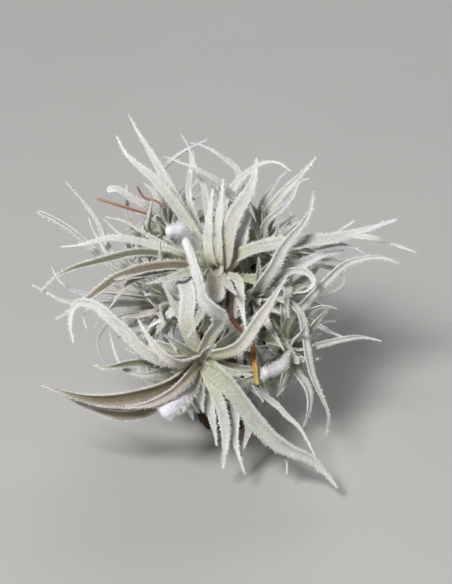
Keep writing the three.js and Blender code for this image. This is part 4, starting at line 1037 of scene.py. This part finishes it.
def hair_roots(corners, edge_fur, face_fur, draws):
    """Where hairs grow: blade, ring, face round the section, and shares of the way forward and sideways."""
    rings = corners.shape[1]
    edges = np.isin(np.arange(SIDES), EDGE_FACES)
    around = np.linalg.norm(np.roll(corners, -1, axis=2) - corners, axis=3)
    along = np.linalg.norm(np.diff(corners, axis=1), axis=3)
    area = around[:, :-1] * along
    furred = smooth_step(*FURRED_FROM, np.linspace(0, 1, rings - 1))[None, :, None]
    on_edges = along * EDGE_HAIRS["density"] * edge_fur[:, None, None]
    on_faces = area * FACE_HAIRS["density"] * face_fur[:, None, None]
    wanted = np.where(edges, on_edges, on_faces) * furred
    counts = np.floor(wanted + draws.uniform(0, 1, wanted.shape)).astype(int)
    blade, ring, face = np.nonzero(counts)
    repeats = counts[blade, ring, face]
    blade, ring, face = (np.repeat(index, repeats) for index in (blade, ring, face))
    forward = draws.uniform(0, 1, len(blade))
    sideways = draws.uniform(0, 1, len(blade))
    return blade, ring, face, forward, sideways[:, None]


def spikes(foot, way, length, radius, wish):
    """Closed spikes from each foot, each with its tip first and then the corners of its base."""
    east = square_to(way, wish)
    north = np.cross(way, east)
    corners = [foot + way * length]
    for k in range(HAIR_SIDES):
        corners.append(foot + radius * turned(east, north, 2 * math.pi * k / HAIR_SIDES))
    points = to_part(np.stack(corners, axis=1).reshape(-1, 3))
    points[:, 2] = np.maximum(points[:, 2], HAIR_FLOOR)
    start = np.arange(len(foot))[:, None] * (HAIR_SIDES + 1)
    faces = np.concatenate([start + face for face in ((0, 1, 2), (0, 2, 3), (0, 3, 1), (3, 2, 1))])
    return points, facing_out(points, [faces])


def hairs(rosette, blades, corners, colours, seed):
    """The fur of a rosette: fine spikes in a nap on the faces and in tufts along the edges of its leaves."""
    draws = np.random.default_rng(seed)
    fuzz = np.where(looks(blades, "woolly"), WOOLLY_FUR, 1.0)
    bare = looks(blades, "bare")
    edge_fur = fuzz**2 * np.where(bare, BARE_EDGE_FUR, 1.0)
    face_fur = fuzz**2 * np.where(bare, BARE_FACE_FUR, 1.0)
    blade, ring, face, forward, sideways = hair_roots(corners, edge_fur, face_fur, draws)
    edge = np.isin(face, EDGE_FACES)[:, None]
    after = (face + 1) % SIDES
    near = mix(corners[blade, ring, face], corners[blade, ring, after], sideways)
    far = mix(corners[blade, ring + 1, face], corners[blade, ring + 1, after], sideways)
    span = np.linalg.norm(far - near, axis=1)
    tufts = np.clip(np.round(span / TUFT_GAP), 1, TUFTS_PER_RING)
    tuft = np.minimum(np.floor(forward * tufts), tufts - 1)
    aside = forward * tufts - tuft - 0.5
    drawn = draws.uniform(0, 1, (*corners.shape[:3], TUFTS_PER_RING, 3))
    drawn = drawn[blade, ring, face, tuft.astype(int)]
    forward = ((tuft + mix(*TUFT_PLACE, drawn[:, 2]) + TUFT_SPREAD * aside) / tufts)[:, None]
    root = mix(near, far, forward)
    heading = unit(far - near)
    middle = corners.mean(2)
    outward = unit(root - mix(middle[blade, ring], middle[blade, ring + 1], forward))
    facing = unit(corners[blade, ring, after] - corners[blade, ring, face])
    normal = unit(np.cross(facing, heading))
    normal = np.where(dot(normal, outward) < 0, -normal, normal)
    stray = draws.normal(0, 1, root.shape)
    ways = zip(FACE_HAIR_WAY, (normal, outward, heading, stray))
    on_face = unit(sum(share * way for share, way in ways))
    closing = TUFT_CLOSING * TUFT_SPREAD * (aside * span / tufts)[:, None]
    lean = EDGE_HAIR_LEAN + EDGE_HAIR_SWING * drawn[:, 1:2] - closing
    way = np.where(edge, unit(outward + lean * heading + EDGE_HAIR_STRAY * stray), on_face)
    length = draws.uniform(*FACE_HAIRS["length"], len(root))[:, None]
    longer = draws.uniform(*EDGE_HAIRS["length"], len(root))[:, None]
    length = np.where(edge, longer, length) * mix(*TUFT_HEIGHT, drawn[:, :1]) * fuzz[blade][:, None]
    length = length * (1 - TIP_FUR * smooth_step(*TIP_FUR_FROM, ring / corners.shape[1]))[:, None]
    length = length * np.clip(each(blades, "width")[blade] / FULL_FUR_BREADTH, LEAST_FUR, 1)
    radius = np.where(edge, EDGE_HAIRS["radius"], FACE_HAIRS["radius"])
    foot = root - normal * HAIR_SINK
    solid = spikes(foot, way, length + HAIR_SINK, radius, stray + heading)
    whiteness = np.where(edge, EDGE_HAIRS["whiteness"], FACE_HAIRS["whiteness"])
    # Hairs take part of the colour of the leaf beneath them, painted shade included.
    tint = mix(colours[blade, ring, face], FUR_COLOUR, whiteness)
    tint = tint * (1 + draws.normal(0, FUR_TONE_SPREAD, (len(root), 1)))
    tint = np.repeat(tint, HAIR_SIDES + 1, axis=0)
    piece = mesh_object(rosette["name"] + "_fur", solid, tint, smooth=False)
    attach(piece, "root")
    return piece


def dry_leaf(leaf, blade, stations, seed):
    """A withered leaf, coloured from root to tip."""
    corners = blade_rings([blade], stations, seed)
    tint = np.repeat(between_stops(stations, DRY_STOPS, leaf["colours"]), SIDES, axis=0)
    piece = mesh_object(leaf["name"] + "_blade", tubes(corners), tint, leaf_places(corners))
    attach(piece, "root")
    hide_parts(leaf["name"])
    return piece


def tube_rings(line, radii, seed):
    """Rings of a rough round tube along a line."""
    along = directions(line[None])[0]
    turn = turns(TUBE_SIDES)
    *starts, swell_start = np.random.default_rng(seed).uniform(*BARK_STARTS, 3)
    east = vector(1, 0, 0)
    rings = []
    for k, (centre, radius) in enumerate(zip(line, radii)):
        ridges = sum(
            height * np.sin(count * turn + twist * k + start)
            for (height, count, twist), start in zip(BARK_RIDGES, starts)
        )
        swell = BARK_SWELL * math.sin(BARK_SWELL_PACE * k + swell_start)
        ring, east = ring_at(centre, radius * (1 + BARK_ROUGHNESS * ridges + swell), along[k], east)
        rings.append(ring)
    return np.array([rings])


def stem_lines():
    """Centre lines and radii of the trunk and of each branch, in the front view's axes."""
    trunk = np.linspace(TRUNK_RADIUS, TRUNK_RADIUS * TRUNK_TAPER, TRUNK_RINGS)
    lines = [(smooth_route(TRUNK, TRUNK_RINGS), trunk)]
    for fork, neck, end in branch_lines():
        back = fork + unit(fork - neck) * BRANCH_SINK
        line = smooth_route([back, neck, end], BRANCH_RINGS)
        neck_at = np.argmin(np.linalg.norm(line - neck, axis=1)) / (BRANCH_RINGS - 1)
        stops = (*(BRANCH_RADIUS * share for share in BRANCH_SHARES), NECK_RADIUS)
        lines.append((line, np.interp(np.linspace(0, 1, BRANCH_RINGS), (0, neck_at, 1), stops)))
    return lines


def foot_rings():
    """The stem's flat foot, flared and ridged, in the part's millimetres."""
    turn = turns(FOOT_SIDES)
    ridge = sum(height * np.sin(count * turn + start) for height, count, start in FOOT_RIDGES)
    rings = []
    for height, share in FOOT_PROFILE:
        radius = FOOT_RADIUS * share * (1 + FOOT_ROUGHNESS * ridge)
        level = np.full(FOOT_SIDES, height)
        rings.append(np.stack([radius * np.cos(turn), radius * np.sin(turn), level], axis=1))
    return np.array([rings])


def sheath_blades():
    """The withered leaf bases that clothe the stem, as blades that lie along it."""
    draws = np.random.default_rng(SHEATH_SEED)
    blades = []
    for line, radii in stem_lines():
        length = np.linalg.norm(np.diff(line, axis=0), axis=1).sum()
        count = int(length * SHEATHS_PER_MM)
        along = directions(line[None])[0]
        for k in range(count):
            i = int(mix(*SHEATH_SPAN, k / count) * len(line))
            axis = along[i]
            east = square_to(axis, vector(*SHEATH_EAST))
            outward = turned(east, np.cross(axis, east), k * GOLDEN_ANGLE)
            way = turned(axis, outward, math.radians(draws.uniform(*SHEATH_LEAN_DEGREES)))
            long = draws.uniform(*SHEATH_LENGTH)
            start = line[i] + outward * radii[i] * SHEATH_SINK
            curl = outward * draws.uniform(*SHEATH_CURL)
            route = [start, start + way * long * 0.5, start + way * long + curl]
            share = min(radii[i] / SHEATH_FULL_RADIUS, SHEATH_WIDEST_SHARE)
            width = SHEATH_WIDTH * draws.uniform(*SHEATH_WIDTH_SHARES) * share
            blades.append(new_blade("stem", width, route, axis, outward))
    return blades


def stem_piece():
    """The woody stem with its foot and withered leaf bases, as one piece."""
    solids = [tubes(tube_rings(*limb, BARK_SEED + number)) for number, limb in enumerate(stem_lines())]
    solids.append(tubes(foot_rings(), place=np.array))
    wood = np.tile(WOOD_COLOUR, (sum(len(points) for points, _ in solids), 1))
    stations = np.linspace(0, 1, SHEATH_RINGS)
    blades = sheath_blades()
    solids.append(tubes(blade_rings(blades, stations, SHEATH_RING_SEED)))
    fade = np.repeat(between_stops(stations, SHEATH_STOPS, SHEATH_COLOURS), SIDES, axis=0)
    points, groups = joined(solids)
    points[:, 2] = np.maximum(points[:, 2], 0)
    tint = np.concatenate([wood, np.tile(fade, (len(blades), 1))])
    piece = mesh_object("stem_wood", (points, groups), tint)
    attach(piece, "root")
    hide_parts("stem")
    return piece


def new_material(name, settings):
    """A node material, its tree and its shader, with the shader's own settings."""
    material = bpy.data.materials.new(name)
    material.use_nodes = True
    tree = material.node_tree
    tree.nodes.clear()
    shader = tree.nodes.new("ShaderNodeBsdfPrincipled")
    output = tree.nodes.new("ShaderNodeOutputMaterial")
    tree.links.new(shader.outputs["BSDF"], output.inputs["Surface"])
    for socket, value in settings.items():
        shader.inputs[socket].default_value = value
    return material, tree, shader


def attribute_node(tree, name, output):
    node = tree.nodes.new("ShaderNodeAttribute")
    node.attribute_name = name
    return node.outputs[output]


def object_place(tree):
    return tree.nodes.new("ShaderNodeTexCoord").outputs["Object"]


def streaky_place(tree, scale):
    """The Place vector stretched so that a noise in it runs in streaks along the leaf."""
    node = tree.nodes.new("ShaderNodeMapping")
    node.inputs["Scale"].default_value = scale
    tree.links.new(attribute_node(tree, "Place", "Vector"), node.inputs["Vector"])
    return node.outputs["Vector"]


def noise_node(tree, place, scale, detail, roughness=0.6):
    node = tree.nodes.new("ShaderNodeTexNoise")
    for socket, value in (("Scale", scale), ("Detail", detail), ("Roughness", roughness)):
        node.inputs[socket].default_value = value
    tree.links.new(place, node.inputs["Vector"])
    return node.outputs["Fac"]


def ranged(tree, value, levels, results):
    """A value carried from its low and high levels to two results."""
    node = tree.nodes.new("ShaderNodeMapRange")
    for socket, number in zip(("From Min", "From Max", "To Min", "To Max"), (*levels, *results)):
        node.inputs[socket].default_value = number
    tree.links.new(value, node.inputs["Value"])
    return node.outputs["Result"]


def times(tree, a, b):
    """The product of two numbers that vary over the surface."""
    node = tree.nodes.new("ShaderNodeMath")
    node.operation = "MULTIPLY"
    tree.links.new(a, node.inputs[0])
    tree.links.new(b, node.inputs[1])
    return node.outputs["Value"]


def mixed(tree, blend, factor, a, b):
    """A colour mix of two sockets or fixed colours, by a socket or a number."""
    node = tree.nodes.new("ShaderNodeMix")
    node.data_type = "RGBA"
    node.blend_type = blend
    for socket, value in (("Factor_Float", factor), ("A_Color", a), ("B_Color", b)):
        target = next(s for s in node.inputs if s.identifier == socket)
        if isinstance(value, bpy.types.NodeSocket):
            tree.links.new(value, target)
        elif isinstance(value, tuple):
            target.default_value = (*value, 1)
        else:
            target.default_value = value
    return next(s for s in node.outputs if s.identifier == "Result_Color")


def shaded(tree, colour, noise, levels, shades):
    """A colour darkened or lightened by a noise, whose low and high levels give the two shades."""
    return mixed(tree, "MULTIPLY", 1.0, colour, ranged(tree, noise, levels, shades))


def bump(tree, shader, height, strength, distance_mm):
    node = tree.nodes.new("ShaderNodeBump")
    node.inputs["Strength"].default_value = strength
    node.inputs["Distance"].default_value = distance_mm / 1000
    tree.links.new(height, node.inputs["Height"])
    tree.links.new(node.outputs["Normal"], shader.inputs["Normal"])


def leaf_material():
    """Living leaf: soft green-grey skin, streaked along its length and crusted with pale scales."""
    settings = {"Roughness": 0.72, "Sheen Weight": 0.35, "Sheen Roughness": 0.5, "Specular IOR Level": 0.3}
    material, tree, shader = new_material("silver_leaf", settings)
    streaks = noise_node(tree, streaky_place(tree, (5.0, 0.22, 1.0)), scale=1.0, detail=4.0)
    crust = noise_node(tree, object_place(tree), scale=2000, detail=3.0, roughness=0.7)
    patches = noise_node(tree, object_place(tree), scale=260, detail=2.0)
    colour = attribute_node(tree, "Tint", "Color")
    colour = shaded(tree, colour, streaks, levels=(0.3, 0.7), shades=(0.88, 1.06))
    scaly = ranged(tree, crust, levels=(0.42, 0.7), results=(0.05, 0.45))
    # Fewer pale scales where Scurf is low, in the channels that hold painted shade.
    scaly = times(tree, scaly, attribute_node(tree, "Scurf", "Fac"))
    colour = mixed(tree, "MIX", scaly, colour, SCALE_COLOUR)
    colour = shaded(tree, colour, crust, levels=(0.36, 0.62), shades=(0.9, 1.03))
    colour = shaded(tree, colour, patches, levels=(0.35, 0.7), shades=(0.9, 1.05))
    tree.links.new(colour, shader.inputs["Base Color"])
    bump(tree, shader, crust, strength=0.7, distance_mm=0.25)
    return material


def hair_material():
    """Fur: dull white spikes, a little lighter or darker from place to place."""
    material, tree, shader = new_material("leaf_fur", {"Roughness": 0.6, "Specular IOR Level": 0.3})
    patches = noise_node(tree, object_place(tree), scale=1500, detail=2.0)
    colour = attribute_node(tree, "Tint", "Color")
    colour = shaded(tree, colour, patches, levels=(0.35, 0.65), shades=(0.84, 1.06))
    tree.links.new(colour, shader.inputs["Base Color"])
    return material


def dry_material():
    """Withered leaf: papery, ribbed along its length."""
    material, tree, shader = new_material("withered_leaf", {"Roughness": 0.55})
    ribs = noise_node(tree, streaky_place(tree, (7.0, 0.3, 1.0)), scale=1.0, detail=4.0)
    colour = attribute_node(tree, "Tint", "Color")
    colour = shaded(tree, colour, ribs, levels=(0.3, 0.7), shades=(0.45, 1.35))
    tree.links.new(colour, shader.inputs["Base Color"])
    bump(tree, shader, ribs, strength=0.7, distance_mm=0.15)
    return material


def wood_material():
    """Stem: dull brown bark with pale lichen-like scurf on the withered leaf bases."""
    material, tree, shader = new_material("stem_bark", {"Roughness": 0.85})
    grain = noise_node(tree, object_place(tree), scale=900, detail=5.0, roughness=0.7)
    patches = noise_node(tree, object_place(tree), scale=240, detail=3.0)
    colour = attribute_node(tree, "Tint", "Color")
    colour = shaded(tree, colour, grain, levels=(0.3, 0.7), shades=(0.55, 1.4))
    lichen = ranged(tree, patches, levels=(0.55, 0.75), results=(0.0, 0.4))
    colour = mixed(tree, "MIX", lichen, colour, LICHEN_COLOUR)
    tree.links.new(colour, shader.inputs["Base Color"])
    bump(tree, shader, grain, strength=0.8, distance_mm=0.3)
    return material


def floor_material():
    """Plain pale floor, very faintly mottled."""
    material, tree, shader = new_material("pale_floor", {"Roughness": 0.75, "Specular IOR Level": 0.2})
    mottle = noise_node(tree, object_place(tree), scale=9, detail=2.0)
    mottle = ranged(tree, mottle, levels=(0.3, 0.7), results=(0.0, 1.0))
    colour = mixed(tree, "MIX", mottle, FLOOR_DARK, FLOOR_LIGHT)
    tree.links.new(colour, shader.inputs["Base Color"])
    return material


def add_floor(material):
    """A plain floor under the plant."""
    corners = [(x * FLOOR_HALF, y * FLOOR_HALF, 0) for x, y in ((-1, -1), (1, -1), (1, 1), (-1, 1))]
    mesh = bpy.data.meshes.new("floor")
    mesh.from_pydata(corners, [], [(0, 1, 2, 3)])
    floor = new_object("floor", mesh)
    mesh.materials.append(material)


def add_camera():
    """The photograph's view, which looks down on the plant from the front."""
    aim = to_part(vector(*AIM)) / 1000
    back = TO_PART @ vector(0, 0, 1)
    data = bpy.data.cameras.new("camera")
    data.sensor_width = SENSOR
    data.lens = SENSOR * VIEW_DISTANCE / FRAME_HEIGHT
    data.clip_start, data.clip_end = CLIP
    camera = new_object("camera", data)
    camera.location = aim + back * VIEW_DISTANCE / 1000
    camera.rotation_euler = (math.pi / 2 - LEAN, 0, 0)
    bpy.context.scene.camera = camera


def add_area_light(name, place, size, power, colour):
    """A soft square light that faces the plant's heart."""
    data = bpy.data.lights.new(name, "AREA")
    data.size = size
    data.energy = power
    data.color = colour
    light = new_object(name, data)
    light.location = place
    aim = Vector((0, 0, HEART_HEIGHT / 1000)) - light.location
    light.rotation_euler = aim.to_track_quat("-Z", "Y").to_euler()


def add_lighting():
    """Plain soft studio light: three area lights and a faint glow all round."""
    for name, light in LIGHTS.items():
        add_area_light(name, **light)
    world = bpy.data.worlds.new("studio")
    world.use_nodes = True
    background = world.node_tree.nodes["Background"]
    background.inputs["Color"].default_value = WORLD_COLOUR
    background.inputs["Strength"].default_value = WORLD_STRENGTH
    bpy.context.scene.world = world
    bpy.context.scene.view_settings.view_transform = "Standard"


def build_plant():
    """All the pieces of the plant, each with its material."""
    blades = all_blades()
    bend_clear(blades)
    stations = 1 - (1 - np.linspace(0, 1, RINGS)) ** TIP_CROWDING
    leaf, fur, withered, bark = leaf_material(), hair_material(), dry_material(), wood_material()
    for number, rosette in enumerate(ROSETTES):
        own = [blade for blade in blades if blade["node"] == rosette["name"]]
        corners = blade_rings(own, stations, RING_SEED + number)
        colours, scurf = leaf_colours(own, corners, stations, COLOUR_SEED + number)
        rosette_leaves(rosette, corners, colours, scurf).data.materials.append(leaf)
        hairs(rosette, own, corners, colours, FUR_SEED + number).data.materials.append(fur)
    for number, dry in enumerate(DRY_LEAVES):
        blade = next(blade for blade in blades if blade["node"] == dry["name"])
        dry_leaf(dry, blade, stations, DRY_SEED + number).data.materials.append(withered)
    stem_piece().data.materials.append(bark)


build_plant()
add_floor(floor_material())
add_camera()
add_lighting()
